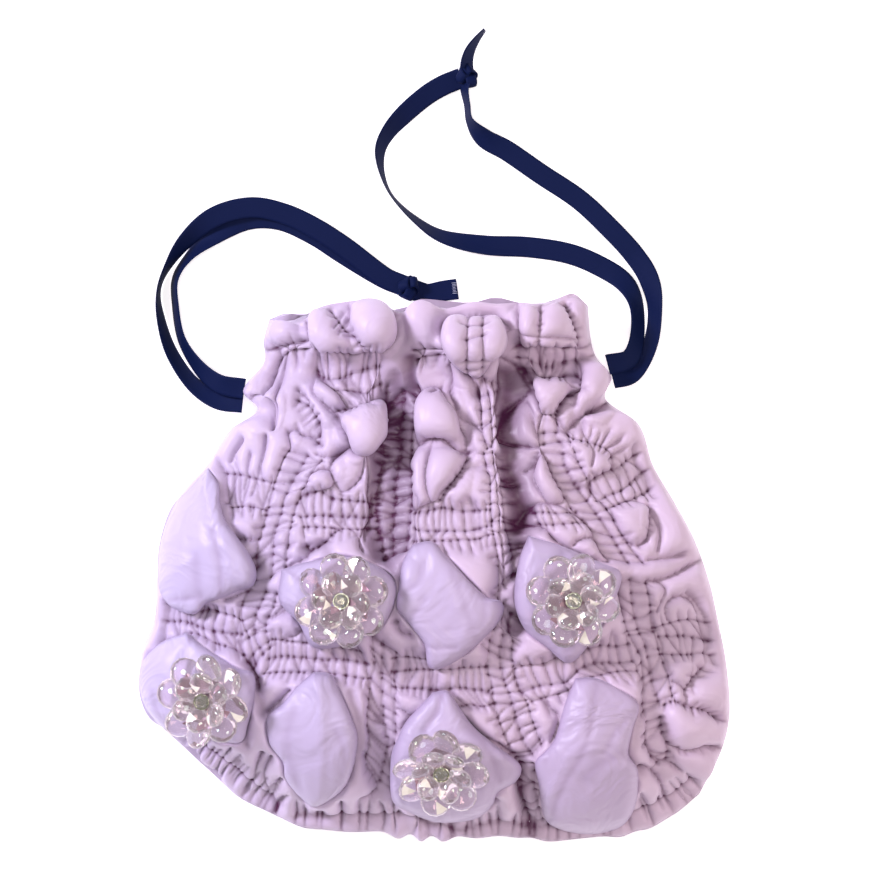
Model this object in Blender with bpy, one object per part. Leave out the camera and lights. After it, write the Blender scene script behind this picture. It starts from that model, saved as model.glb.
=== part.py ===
# Padded drawstring pouch, smocked, with eight fabric petals and four bead flowers, lying on its back.
# Frame: +X across the pouch, +Y from the hem to the gathered mouth, +Z up, z = 0 under the back.
import math
from collections import namedtuple

import bmesh
import bpy
from mathutils import Matrix, Vector

# Driving dimensions, metres
BAG_WIDTH = 0.2813
BAG_LENGTH = 0.2620          # hem to the top of the ruffle
BELLY_HEIGHT = 0.0560        # floor to the front face at the fullest place
SEAM_HEIGHT = 0.0190         # floor to the side seam
WALL = 0.0075                # padded wall
RIM_LIFT = 0.0065            # floor to the back of the ruffle's edge
SIDE_WALL = 0.0110           # padded wall beside the side seam and above the hem
PETAL_THICKNESS = 0.0085
PETAL_SINK = 0.0070          # how far an uncut petal reaches into the front face
CLEARANCE = 0.0004           # air between neighbours
RIBBON_WIDTH = 0.0100
RIBBON_THICKNESS = 0.0008
KNOT_LENGTH = 0.0080
KNOT_WIDTH = 0.0120
KNOT_HEIGHT = 0.0070
DISC_RADIUS = 0.0120
DISC_HEIGHT = 0.0024
HUB_RADIUS = 0.0060
HUB_HEIGHT = 0.0060
OUTER_BEAD = (0.0140, 0.0110, 0.0066)     # length, width, height
INNER_BEAD = (0.0092, 0.0078, 0.0058)
CENTRE_STONE = (0.0083, 0.0083, 0.0034)
OUTER_BEAD_REACH = 0.0225    # flower centre to the outer end of an outer bead
INNER_BEAD_REACH = 0.0132
BEAD_TAPER = 0.25            # how much broader a bead is at its outer end
OUTER_BEADS = 8
INNER_BEADS = 6
FOLD_DEPTH = 0.0140          # the deepest valley in the front face
PUFF_RISE = 0.0180           # the tallest puff on the ruffle

HALF_WIDTH = BAG_WIDTH / 2
HALF_LENGTH = BAG_LENGTH / 2
MM = 0.001

# Mesh counts
FRONT_COLUMNS = 40
BACK_COLUMNS = 20
FRONT_ROWS = 28
INSIDE_ROWS = 13
STONE_SIDES = 8
DISC_SIDES = 14

# How full the pouch is: power of its cross section, and the shares over which its edges round off
SECTION_POWER = 2.5
INSIDE_POWER = 4.0
SEAM_RISE = 0.10             # the seam climbs from the hem's height over this share of the length
FRONT_EDGE = 0.06            # relief fades towards the hem
INSIDE_EDGE = 0.12           # the hollow opens up past the hem
BACK_SIDE_TURN = 0.11        # the back turns up towards a side seam
BACK_HEM_TURN = 0.09         # and towards the hem
RUFFLE_START = 0.82          # share of the length where the scallops begin

# Side seams from hem (v = 0) to ruffle (v = 1): x as a share of half the width, y of half the length
Side = namedtuple("Side", "v left_x left_y right_x right_y")
SIDES = [
    Side(0.00, -0.78, -0.71, 0.90, -0.82),
    Side(0.07, -0.93, -0.57, 0.97, -0.67),
    Side(0.14, -0.993, -0.46, 1.00, -0.53),
    Side(0.22, -0.993, -0.31, 0.99, -0.35),
    Side(0.30, -0.95, -0.18, 0.96, -0.18),
    Side(0.38, -0.94, -0.02, 0.93, -0.04),
    Side(0.46, -0.92, 0.13, 0.88, 0.11),
    Side(0.54, -0.86, 0.27, 0.81, 0.25),
    Side(0.62, -0.77, 0.38, 0.74, 0.38),
    Side(0.70, -0.69, 0.51, 0.69, 0.53),
    Side(0.75, -0.60, 0.58, 0.58, 0.62),
    Side(0.79, -0.65, 0.65, 0.60, 0.70),
    Side(0.84, -0.58, 0.75, 0.55, 0.77),
    Side(0.90, -0.58, 0.83, 0.53, 0.84),
    Side(1.00, -0.56, 0.91, 0.52, 0.96),
]

# Height of the front face along the pouch, as a share of the belly height
Crown = namedtuple("Crown", "v height")
CROWNS = [
    Crown(0.00, 0.20), Crown(0.03, 0.46), Crown(0.08, 0.68), Crown(0.16, 0.87), Crown(0.30, 0.98),
    Crown(0.45, 1.00), Crown(0.60, 0.94), Crown(0.72, 0.84), Crown(0.81, 0.72), Crown(0.88, 0.80),
    Crown(0.95, 0.76), Crown(1.00, 0.66),
]

# Hem and ruffle edges away from the straight line between the side seams, as shares of half the length
Hem = namedtuple("Hem", "s drop")
HEM = [
    Hem(0.00, 0.00), Hem(0.05, -0.09), Hem(0.11, -0.15), Hem(0.20, -0.21), Hem(0.33, -0.214),
    Hem(0.46, -0.224), Hem(0.60, -0.20), Hem(0.74, -0.20), Hem(0.88, -0.15), Hem(0.95, -0.08),
    Hem(1.00, 0.00),
]
Scallop = namedtuple("Scallop", "s front back")
SCALLOPS = [
    Scallop(0.00, 0.00, 0.00), Scallop(0.05, -0.01, 0.02), Scallop(0.10, -0.02, 0.01),
    Scallop(0.15, 0.03, 0.01), Scallop(0.24, 0.05, 0.02), Scallop(0.34, 0.06, 0.02),
    Scallop(0.41, -0.03, 0.01), Scallop(0.48, -0.09, 0.05), Scallop(0.55, -0.03, 0.04),
    Scallop(0.64, -0.01, 0.03), Scallop(0.71, -0.02, 0.045), Scallop(0.79, 0.02, 0.02),
    Scallop(0.87, 0.01, 0.00), Scallop(0.95, 0.045, 0.02), Scallop(1.00, 0.00, 0.00),
]

# Stitched bands and folds pressed into the front: depth as a share of the deepest, route in plan shares
Fold = namedtuple("Fold", "depth half_width route")
FOLDS = {
    "left_band": Fold(0.29, 0.07, [(-0.41, 0.50), (-0.54, 0.25), (-0.61, -0.07), (-0.62, -0.22),
                                   (-0.58, -0.31)]),
    "middle_valley": Fold(1.00, 0.10, [(-0.12, 0.84), (-0.13, 0.54), (-0.14, 0.25), (-0.16, 0.00)]),
    "middle_band": Fold(0.36, 0.07, [(-0.17, -0.11), (-0.18, -0.45), (-0.17, -0.87)]),
    "right_valley": Fold(0.86, 0.08, [(0.27, 0.80), (0.29, 0.43), (0.30, 0.22), (0.31, 0.00),
                                      (0.29, -0.18)]),
    "right_middle_band": Fold(0.36, 0.07, [(0.22, -0.26), (0.22, -0.44), (0.30, -0.62), (0.32, -0.95)]),
    "right_band": Fold(0.29, 0.07, [(0.38, 0.50), (0.51, 0.26), (0.65, 0.03), (0.73, -0.24),
                                    (0.79, -0.73)]),
    "upper_left_row": Fold(0.32, 0.07, [(-0.78, 0.34), (-0.57, 0.27), (-0.32, 0.22), (-0.15, 0.20)]),
    "upper_middle_row": Fold(0.25, 0.07, [(-0.10, 0.19), (0.22, 0.19)]),
    "upper_right_row": Fold(0.25, 0.07, [(0.53, 0.29), (0.70, 0.34), (0.80, 0.29)]),
    "lower_row": Fold(0.32, 0.08, [(-0.95, -0.15), (-0.77, -0.18), (-0.58, -0.31), (-0.19, -0.35),
                                   (0.07, -0.45), (0.32, -0.40), (0.62, -0.30), (0.94, -0.23)]),
    "cinch": Fold(0.43, 0.07, [(-0.62, 0.70), (-0.35, 0.73), (-0.10, 0.72), (0.10, 0.70),
                               (0.35, 0.77), (0.58, 0.70)]),
}

# Puffs standing up from the front: height as a share of the tallest, centre and half sizes in plan shares
Puff = namedtuple("Puff", "height x y half_x half_y")
PUFFS = [
    Puff(0.28, -0.51, 0.84, 0.08, 0.09),
    Puff(0.56, -0.37, 0.85, 0.10, 0.11),
    Puff(0.67, -0.20, 0.86, 0.10, 0.12),
    Puff(1.00, 0.13, 0.79, 0.14, 0.14),
    Puff(0.67, 0.36, 0.88, 0.13, 0.11),
    Puff(0.44, 0.50, 0.89, 0.07, 0.12),
    Puff(0.44, -0.36, 0.62, 0.10, 0.11),
    Puff(0.61, -0.24, 0.52, 0.11, 0.15),
    Puff(0.44, 0.01, 0.57, 0.10, 0.13),
    Puff(0.44, 0.39, 0.64, 0.10, 0.11),
    Puff(0.50, 0.54, 0.64, 0.08, 0.13),
    Puff(0.33, -0.58, 0.60, 0.08, 0.12),
    Puff(0.33, 0.19, 0.52, 0.08, 0.16),
    Puff(0.33, 0.20, 0.26, 0.08, 0.16),
    Puff(0.28, 0.02, 0.33, 0.12, 0.13),
    Puff(0.28, 0.53, 0.42, 0.11, 0.12),
    Puff(0.28, 0.80, 0.19, 0.11, 0.14),
    Puff(0.28, 0.86, -0.47, 0.12, 0.15),
    Puff(0.22, -0.39, 0.36, 0.09, 0.10),
]
RIM_CURL_START = 0.90        # share of the length where the ruffle leaves the floor
HEM_FLUTES = 13              # gathers along the hem
HEM_FLUTE_DEPTH = 0.0016

# Petal outlines, clockwise, as shares of half the width and half the length
PETALS = {
    "petal_1": [(-0.77, 0.36), (-0.88, 0.24), (-0.93, 0.08), (-0.92, -0.09), (-0.84, -0.18),
                (-0.78, -0.12), (-0.62, -0.06), (-0.65, 0.06), (-0.72, 0.18), (-0.72, 0.31)],
    "petal_2": [(-0.51, 0.00), (-0.42, 0.03), (-0.29, 0.05), (-0.17, -0.01), (-0.15, -0.08),
                (-0.18, -0.18), (-0.33, -0.27), (-0.42, -0.27), (-0.47, -0.19), (-0.52, -0.11)],
    "petal_3": [(-0.06, 0.09), (0.00, 0.09), (0.09, -0.01), (0.19, -0.10), (0.22, -0.15),
                (0.11, -0.29), (0.00, -0.35), (-0.05, -0.26), (-0.11, -0.14), (-0.10, -0.03)],
    "petal_4": [(0.33, 0.13), (0.46, 0.09), (0.62, 0.01), (0.60, -0.08), (0.56, -0.18),
                (0.50, -0.27), (0.44, -0.33), (0.35, -0.25), (0.28, -0.16), (0.30, 0.00)],
    "petal_5": [(-0.84, -0.25), (-0.77, -0.29), (-0.63, -0.35), (-0.61, -0.44), (-0.65, -0.60),
                (-0.83, -0.58), (-0.96, -0.53), (-0.99, -0.43), (-0.98, -0.35), (-0.93, -0.28)],
    "petal_6": [(-0.40, -0.38), (-0.34, -0.39), (-0.29, -0.50), (-0.26, -0.62), (-0.28, -0.74),
                (-0.33, -0.83), (-0.42, -0.85), (-0.51, -0.73), (-0.56, -0.62), (-0.55, -0.53),
                (-0.47, -0.43)],
    "petal_7": [(-0.01, -0.45), (0.05, -0.45), (0.11, -0.56), (0.20, -0.64), (0.27, -0.72),
                (0.21, -0.83), (0.12, -0.90), (0.01, -0.90), (-0.12, -0.83), (-0.14, -0.70),
                (-0.12, -0.60), (-0.07, -0.52)],
    "petal_8": [(0.48, -0.40), (0.55, -0.40), (0.68, -0.50), (0.66, -0.66), (0.68, -0.77),
                (0.65, -0.88), (0.54, -0.93), (0.41, -0.89), (0.36, -0.80), (0.36, -0.70),
                (0.42, -0.60), (0.46, -0.49)],
}
# Rings of a petal from its underside to its top: share of the outline, rise as a share of the thickness
PETAL_RINGS = [(1.00, 0.25), (0.90, 0.72), (0.60, 1.00)]
PETAL_ROOT = 0.96            # the sunk ring's share of the outline
PETAL_CROWN = 1.05           # rise of the middle, as a share of the thickness
PETAL_CURVE_STEPS = 2        # facets between two outline points

# Flower centres, and the petal that carries each
Flower = namedtuple("Flower", "petal x y turn")
FLOWERS = {
    "flower_1": Flower("petal_2", -0.31, -0.11, 0.0),
    "flower_2": Flower("petal_4", 0.46, -0.11, 20.0),
    "flower_3": Flower("petal_5", -0.79, -0.46, 10.0),
    "flower_4": Flower("petal_7", 0.04, -0.71, 30.0),
}
SEAT_RADIUS = 0.0238         # flat place pressed into a petal by its flower
FLOWER_RISE = 0.9            # height of a flower's seat, as a share of the petal's thickness
LEAN_REACH = 0.6             # where a flower's lean is measured, as a share of its reach

# Rows of beads: count, size, reach, lift as a share of the disc's height, and first angle in degrees
BeadRow = namedtuple("BeadRow", "count size reach lift start")
BEAD_ROWS = {
    "outer": BeadRow(OUTER_BEADS, OUTER_BEAD, OUTER_BEAD_REACH, 0.2, 4.0),
    "inner": BeadRow(INNER_BEADS, INNER_BEAD, INNER_BEAD_REACH, 0.7, 17.0),
}
# Girdle and table of a cut stone: height and breadth as shares of its own
STONE_LEVELS = [(0.0, 0.72), (0.42, 1.0), (1.0, 0.55)]

# Ribbon routes: x and y in mm, lift off the floor in mm, roll in degrees (0 flat, 90 on edge)
Stop = namedtuple("Stop", "x y lift roll")
RIBBONS = {
    "ribbon_left_outer": [
        Stop(-91.5, 79.5, 17.3, 5), Stop(-104, 81, 12.0, 25), Stop(-116, 89, 5.0, 45),
        Stop(-126, 104, 1.0, 55), Stop(-131, 120, 0.0, 68), Stop(-132, 133, 0.0, 80),
        Stop(-128, 144, 0.0, 72), Stop(-119, 157, 1.9, 42), Stop(-105, 168.5, 3.6, 8),
        Stop(-88, 173, 2.8, 0), Stop(-72, 170, 2.0, 0), Stop(-57, 163, 2.0, 0),
        Stop(-43, 154, 2.0, 0), Stop(-30, 144, 2.0, 0), Stop(-23, 139, 2.0, 0),
        Stop(-16.8, 136.4, 2.0, 0)],
    "ribbon_left_inner": [
        Stop(-90.7, 86, 19.8, -5), Stop(-103, 88.5, 15.2, -25), Stop(-113, 97, 7.0, -50),
        Stop(-121, 110, 2.0, -66), Stop(-124, 126, 0.0, -70), Stop(-124, 139, 0.0, -70),
        Stop(-117, 150, 0.0, -62), Stop(-105.5, 159.5, 0.0, -28), Stop(-90, 167, 0.0, 0),
        Stop(-74, 167, 0.0, 0), Stop(-58, 160, 0.0, 0), Stop(-44, 151, 0.0, 0),
        Stop(-31, 143, 0.0, 0), Stop(-23, 138.6, 0.0, 0), Stop(-16.8, 136.2, 0.0, 0)],
    "ribbon_right_outer": [
        Stop(84.9, 91, 17.3, -5), Stop(95, 94, 12.0, -25), Stop(103.3, 108, 3.6, -45),
        Stop(105.4, 125, 2.2, -46), Stop(102.5, 139, 3.4, -15), Stop(95, 151, 2.0, 0),
        Stop(83, 164, 1.4, 0), Stop(69, 177, 0.0, 0), Stop(51, 189, 0.0, 0),
        Stop(35, 200, 0.0, -5), Stop(24, 206, 0.0, -25), Stop(17, 214, 0.0, -68),
        Stop(15.6, 222, 0.0, -73), Stop(14.4, 228.6, 0.0, -68)],
    "ribbon_right_inner": [
        Stop(82.5, 97.5, 19.8, 5), Stop(93, 100.5, 15.0, 25), Stop(96.8, 111, 7.0, 45),
        Stop(96.6, 126, 1.2, 46), Stop(91, 137, 0.0, 20), Stop(79, 145, 0.0, 0),
        Stop(64, 151, 0.0, 0), Stop(45, 154, 0.0, 0), Stop(24, 155, 0.0, 20),
        Stop(4, 159, 0.0, 50), Stop(-9, 167, 0.0, 70), Stop(-20, 178, 0.0, 82),
        Stop(-25, 189, 0.0, 76), Stop(-26, 200, 0.0, 60), Stop(-22, 209, 0.0, 45),
        Stop(-14, 218, 0.0, 25), Stop(-4, 226.5, 0.0, 15), Stop(4, 231.4, 0.0, 5),
        Stop(10.7, 234.2, 0.0, 0)],
    "tail_left": [
        Stop(-6.6, 132.4, 0.6, 0), Stop(-3, 131.5, 0.3, 0), Stop(4, 133, 0.0, 0), Stop(11, 134, 0.0, 0)],
    "tail_right": [
        Stop(15.6, 243.2, 0.0, 55), Stop(17, 248, 0.0, 62), Stop(20, 253, 0.0, 72),
        Stop(24, 258, 0.0, 82)],
}
RIBBON_STEP = 0.0085         # length of one facet along a ribbon
CURVE_STEPS = 12             # samples between two stops, before they are spaced evenly

# Knots: x and y of the middle in mm, turn in degrees
Knot = namedtuple("Knot", "x y turn")
KNOTS = {
    "knot_left": Knot(-12.3, 134.6, -20.0),
    "knot_right": Knot(15.5, 235.8, 15.0),
}
KNOT_ROUND = 0.22            # bevel of a knot's edges, as a share of its height

# Finish of each material: colour, metallic, roughness
FINISHES = {
    "padded_nylon": ((0.56, 0.42, 0.58), 0.0, 0.42),
    "petal_nylon": ((0.68, 0.60, 0.80), 0.0, 0.38),
    "cut_crystal": ((0.80, 0.72, 0.70), 0.0, 0.05),
    "grosgrain": ((0.010, 0.018, 0.080), 0.0, 0.70),
}


def clear_scene():
    for thing in list(bpy.data.objects):
        bpy.data.objects.remove(thing)


def finish_material(name):
    found = bpy.data.materials.get(name)
    if found:
        return found
    colour, metallic, roughness = FINISHES[name]
    material = bpy.data.materials.new(name)
    material.use_nodes = True
    shader = material.node_tree.nodes["Principled BSDF"]
    shader.inputs["Base Color"].default_value = (*colour, 1.0)
    shader.inputs["Metallic"].default_value = metallic
    shader.inputs["Roughness"].default_value = roughness
    return material


def curve_value(table, key, column, at):
    """Smooth value of one column of a table at a place along its key column."""
    keys = [getattr(row, key) for row in table]
    values = [getattr(row, column) for row in table]
    at = min(max(at, keys[0]), keys[-1])
    i = 0
    while i < len(keys) - 2 and at > keys[i + 1]:
        i += 1
    span = keys[i + 1] - keys[i]
    t = (at - keys[i]) / span

    def slope(k):
        low, high = max(k - 1, 0), min(k + 1, len(keys) - 1)
        return (values[high] - values[low]) / (keys[high] - keys[low])

    a, b = values[i], values[i + 1]
    m, n = slope(i) * span, slope(i + 1) * span
    return ((2 * t**3 - 3 * t**2 + 1) * a + (t**3 - 2 * t**2 + t) * m
            + (3 * t**2 - 2 * t**3) * b + (t**3 - t**2) * n)


def side_points(v):
    left = Vector((curve_value(SIDES, "v", "left_x", v), curve_value(SIDES, "v", "left_y", v)))
    right = Vector((curve_value(SIDES, "v", "right_x", v), curve_value(SIDES, "v", "right_y", v)))
    return left, right


def plan(s, v, scallop_side="front"):
    """Plan point, in metres, at share s from the left to the right seam and share v from hem to ruffle."""
    left, right = side_points(v)
    point = left.lerp(right, s)
    hem = curve_value(HEM, "s", "drop", s)
    near_hem = max(0.0, 1 - v / FRONT_EDGE) * 4 * s * (1 - s)
    flute = HEM_FLUTE_DEPTH * math.cos(2 * math.pi * HEM_FLUTES * s) * near_hem
    top = curve_value(SCALLOPS, "s", scallop_side, s)
    ruffle = max(0.0, (v - RUFFLE_START) / (1 - RUFFLE_START))
    along = point.y + hem * (1 - v) ** 1.2 + top * ruffle
    return Vector((point.x * HALF_WIDTH, along * HALF_LENGTH + flute))


def rounding(s, power):
    return max(0.0, 1 - abs(2 * s - 1) ** power) ** (1 / power)


def base_height(s, v):
    """Front face without its folds and puffs."""
    crown = curve_value(CROWNS, "v", "height", v) * BELLY_HEIGHT
    seam = seam_height(v)
    return seam + (crown - seam) * rounding(s, SECTION_POWER)


def seam_height(v):
    hem_height = CROWNS[0].height * BELLY_HEIGHT
    return hem_height + (SEAM_HEIGHT - hem_height) * min(1.0, v / SEAM_RISE)


def route_distance(point, route):
    """Distance from a plan point in shares to a line of points in shares."""
    best = None
    for a, b in zip(route, route[1:]):
        a, b = Vector(a), Vector(b)
        along = b - a
        t = min(max((point - a).dot(along) / along.length_squared, 0.0), 1.0)
        gap = (point - a - along * t).length
        best = gap if best is None else min(best, gap)
    return best


def relief(x, y):
    """Height that the folds take from the front and the puffs add to it."""
    point = Vector((x / HALF_WIDTH, y / HALF_LENGTH))
    down = 0.0
    for fold in FOLDS.values():
        near = route_distance(point, fold.route) / fold.half_width
        if near < 1:
            down = max(down, fold.depth * (0.5 + 0.5 * math.cos(math.pi * near)))
    up = 0.0
    for puff in PUFFS:
        reach = math.hypot((point.x - puff.x) / puff.half_x, (point.y - puff.y) / puff.half_y)
        if reach < 1:
            up = max(up, puff.height * (1 - reach**2) ** 0.8)
    return up * PUFF_RISE - down * FOLD_DEPTH


def front_height(s, v, x, y):
    fade = min(1.0, 1.6 * rounding(s, SECTION_POWER)) * min(1.0, v / FRONT_EDGE)
    return base_height(s, v) + relief(x, y) * fade


def back_height(s, v):
    """Back face: flat on the floor, turned up to the side seams and the hem."""
    across = math.sin(math.pi / 2 * min(1.0, min(s, 1 - s) / BACK_SIDE_TURN))
    along = math.sin(math.pi / 2 * min(1.0, v / BACK_HEM_TURN))
    return seam_height(v) * (1 - across * along) + rim_lift(v) * across


def rim_lift(v):
    """The ruffle curls up off the floor at its edge."""
    return RIM_LIFT * max(0.0, (v - RIM_CURL_START) / (1 - RIM_CURL_START)) ** 1.5


def spread(step, steps):
    """Share across, closer together near the seams."""
    even = step / steps
    return 0.5 * even + 0.25 * (1 - math.cos(math.pi * even))


def outer_point(face, step, steps, v):
    s = spread(step, steps)
    across = plan(s, v, face)
    z = front_height(s, v, across.x, across.y) if face == "front" else back_height(s, v)
    return Vector((across.x, across.y, z))


def inner_point(face, step, steps, v):
    """Inner face of the padded wall."""
    s = spread(step, steps)
    left, right = side_points(v)
    inset = SIDE_WALL / ((right.x - left.x) * HALF_WIDTH)
    hem_inset = SIDE_WALL / BAG_LENGTH
    s_wall = inset + (1 - 2 * inset) * s
    v_wall = hem_inset + (1 - hem_inset) * v
    across = plan(s_wall, v_wall, face)
    middle = seam_height(v_wall)
    room = rounding(s, INSIDE_POWER) * min(1.0, v / INSIDE_EDGE)
    if face == "front":
        target = front_height(s_wall, v_wall, across.x, across.y) - WALL
    else:
        target = WALL + rim_lift(v_wall)
    return Vector((across.x, across.y, middle + (target - middle) * room))


def tube_half(bm, maker, face, columns, rows, shared=None):
    """Grid of vertices of one face, which takes its edge vertices from the face already made."""
    grid = []
    for row in range(rows + 1):
        v = row / rows
        line = []
        for column in range(columns + 1):
            if shared and row == 0:
                line.append(shared[0][column * (len(shared[0]) - 1) // columns])
            elif shared and column == 0:
                line.append(shared[row][0])
            elif shared and column == columns:
                line.append(shared[row][-1])
            else:
                line.append(bm.verts.new(maker(face, column, columns, v)))
        grid.append(line)
    return grid


def skin_front(bm, grid, outwards):
    for low, high in zip(grid, grid[1:]):
        for i in range(len(low) - 1):
            face = [low[i], low[i + 1], high[i + 1], high[i]]
            bm.faces.new(face if outwards else face[::-1])


def skin_back(bm, grid, hem, outwards):
    """Back face; its first row meets the finer hem of the front."""
    ratio = (len(hem) - 1) // (len(grid[0]) - 1)
    for row, (low, high) in enumerate(zip(grid, grid[1:])):
        for i in range(len(low) - 1):
            if row == 0:
                face = hem[i * ratio:(i + 1) * ratio + 1] + [high[i + 1], high[i]]
            else:
                face = [low[i], low[i + 1], high[i + 1], high[i]]
            bm.faces.new(face[::-1] if outwards else face)


def outer_skin(bm):
    front = tube_half(bm, outer_point, "front", FRONT_COLUMNS, FRONT_ROWS)
    back = tube_half(bm, outer_point, "back", BACK_COLUMNS, FRONT_ROWS, shared=front)
    skin_front(bm, front, outwards=True)
    skin_back(bm, back, front[0], outwards=True)
    bmesh.ops.triangulate(bm, faces=bm.faces)
    return front, back


def new_object(name, bm, material):
    mesh = bpy.data.meshes.new(name)
    bm.to_mesh(mesh)
    bm.free()
    mesh.shade_smooth()
    mesh.set_sharp_from_angle(angle=math.radians(40))
    mesh.materials.append(finish_material(material))
    made = bpy.data.objects.new(name, mesh)
    bpy.context.scene.collection.objects.link(made)
    return made


def bag_body():
    bm = bmesh.new()
    front, back = outer_skin(bm)
    in_front = tube_half(bm, inner_point, "front", BACK_COLUMNS, INSIDE_ROWS)
    in_back = tube_half(bm, inner_point, "back", BACK_COLUMNS, INSIDE_ROWS, shared=in_front)
    skin_front(bm, in_front, outwards=False)
    skin_back(bm, in_back, in_front[0], outwards=False)
    ratio = FRONT_COLUMNS // BACK_COLUMNS
    for i in range(BACK_COLUMNS):
        rim = front[-1][i * ratio:(i + 1) * ratio + 1]
        bm.faces.new(rim + [in_front[-1][i + 1], in_front[-1][i]])
        bm.faces.new([back[-1][i + 1], back[-1][i], in_back[-1][i], in_back[-1][i + 1]])
    return new_object("bag_body", bm, "padded_nylon")


def bag_form():
    """The pouch filled solid and grown by the clearance, which cuts the seats of the petals."""
    bm = bmesh.new()
    front, back = outer_skin(bm)
    mouth = front[-1] + back[-1][-2:0:-1]
    bm.faces.new(mouth)
    bmesh.ops.triangulate(bm, faces=bm.faces)
    bm.normal_update()
    for vert in bm.verts:
        vert.co += vert.normal * CLEARANCE
    form = new_object("bag_form", bm, "padded_nylon")
    hide_cutter(form)
    return form


def hide_cutter(cutter):
    cutter.hide_render = True
    cutter.display_type = "WIRE"


def locate(x, y):
    """Shares s and v of a plan point, by halving the span of v."""
    low, high = 0.0, 1.0
    for _ in range(24):
        v = (low + high) / 2
        left, right = side_points(v)
        s = (x / HALF_WIDTH - left.x) / (right.x - left.x)
        s = min(max(s, 0.02), 0.98)
        if plan(s, v).y < y:
            low = v
        else:
            high = v
    return s, v


def base_at(x, y):
    s, v = locate(x, y)
    return base_height(s, v)


def closed_curve(points, per_span):
    """Smooth closed line through the points."""
    line = []
    count = len(points)
    for i in range(count):
        p0, p1, p2, p3 = (Vector(points[(i + k) % count]) for k in (-1, 0, 1, 2))
        for step in range(per_span):
            t = step / per_span
            line.append(0.5 * (2 * p1 + (p2 - p0) * t + (2 * p0 - 5 * p1 + 4 * p2 - p3) * t**2
                               + (3 * p1 - p0 - 3 * p2 + p3) * t**3))
    return line


def petal(name, outline, form):
    """A padded pillow over the front face, cut from below by the grown pouch."""
    edge = closed_curve([(x * HALF_WIDTH, y * HALF_LENGTH) for x, y in outline], PETAL_CURVE_STEPS)
    middle = sum(edge, Vector((0, 0))) / len(edge)
    rings = [(PETAL_ROOT, -PETAL_SINK)]
    rings += [(scale, rise * PETAL_THICKNESS) for scale, rise in PETAL_RINGS]
    bm = bmesh.new()
    made = []
    for scale, rise in rings:
        line = []
        for point in edge:
            at = middle + (point - middle) * scale
            line.append(bm.verts.new((at.x, at.y, base_at(at.x, at.y) + rise)))
        made.append(line)
    count = len(edge)
    for low, high in zip(made, made[1:]):
        for i in range(count):
            j = (i + 1) % count
            bm.faces.new([low[i], low[j], high[j], high[i]])
    top = bm.verts.new((middle.x, middle.y, base_at(middle.x, middle.y) + PETAL_THICKNESS * PETAL_CROWN))
    under = bm.verts.new((middle.x, middle.y, base_at(middle.x, middle.y) - PETAL_SINK))
    for i in range(count):
        j = (i + 1) % count
        bm.faces.new([made[-1][i], made[-1][j], top])
        bm.faces.new([made[0][j], made[0][i], under])
    bmesh.ops.recalc_face_normals(bm, faces=bm.faces)
    piece = new_object(name, bm, "petal_nylon")
    cut(piece, form, "seat_on_pouch")
    return piece


def cut(piece, cutter, name):
    boolean = piece.modifiers.new(name, "BOOLEAN")
    boolean.operation = "DIFFERENCE"
    boolean.solver = "EXACT"
    boolean.object = cutter


def flower_frame(flower):
    """Place of a flower: on top of its petal, leaning with the front face."""
    x, y = flower.x * HALF_WIDTH, flower.y * HALF_LENGTH
    reach = LEAN_REACH * OUTER_BEAD_REACH
    lean_x = (base_at(x + reach, y) - base_at(x - reach, y)) / (2 * reach)
    lean_y = (base_at(x, y + reach) - base_at(x, y - reach)) / (2 * reach)
    up = Vector((-lean_x, -lean_y, 1)).normalized()
    turn = up.to_track_quat("Z", "Y").to_matrix().to_4x4()
    spin = Matrix.Rotation(math.radians(flower.turn), 4, "Z")
    top = base_at(x, y) + FLOWER_RISE * PETAL_THICKNESS
    return Matrix.Translation((x, y, top)) @ turn @ spin


def cut_stone(bm, size, matrix):
    """A faceted drop with a table: long axis along x, its wider end outwards."""
    length, width, height = size
    rings = []
    for level, scale in STONE_LEVELS:
        ring = []
        for k in range(STONE_SIDES):
            angle = 2 * math.pi * (k + 0.5) / STONE_SIDES
            broad = 1 + BEAD_TAPER * math.cos(angle)
            x = 0.5 * length / math.cos(math.pi / STONE_SIDES) * scale * math.cos(angle)
            y = 0.5 * width / math.cos(math.pi / STONE_SIDES) * scale * math.sin(angle) * broad
            ring.append(bm.verts.new(matrix @ Vector((x, y, level * height))))
        rings.append(ring)
    for low, high in zip(rings, rings[1:]):
        for k in range(STONE_SIDES):
            j = (k + 1) % STONE_SIDES
            bm.faces.new([low[k], low[j], high[j], high[k]])
    bm.faces.new(rings[0][::-1])
    bm.faces.new(rings[-1])


def solid_from(name, build):
    """A hidden solid that is fused into a flower."""
    bm = bmesh.new()
    build(bm)
    solid = new_object(name, bm, "cut_crystal")
    hide_cutter(solid)
    return solid


def turned_step(bm):
    """The backing disc with its hub."""
    levels = [(DISC_RADIUS, 0.0), (DISC_RADIUS, DISC_HEIGHT)]
    levels += [(HUB_RADIUS, DISC_HEIGHT), (HUB_RADIUS, HUB_HEIGHT)]
    rings = []
    for radius, z in levels:
        ring = []
        for k in range(DISC_SIDES):
            angle = 2 * math.pi * k / DISC_SIDES
            ring.append(bm.verts.new((radius * math.cos(angle), radius * math.sin(angle), z)))
        rings.append(ring)
    for low, high in zip(rings, rings[1:]):
        for k in range(DISC_SIDES):
            j = (k + 1) % DISC_SIDES
            bm.faces.new([low[k], low[j], high[j], high[k]])
    bm.faces.new(rings[0][::-1])
    bm.faces.new(rings[-1])


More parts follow.
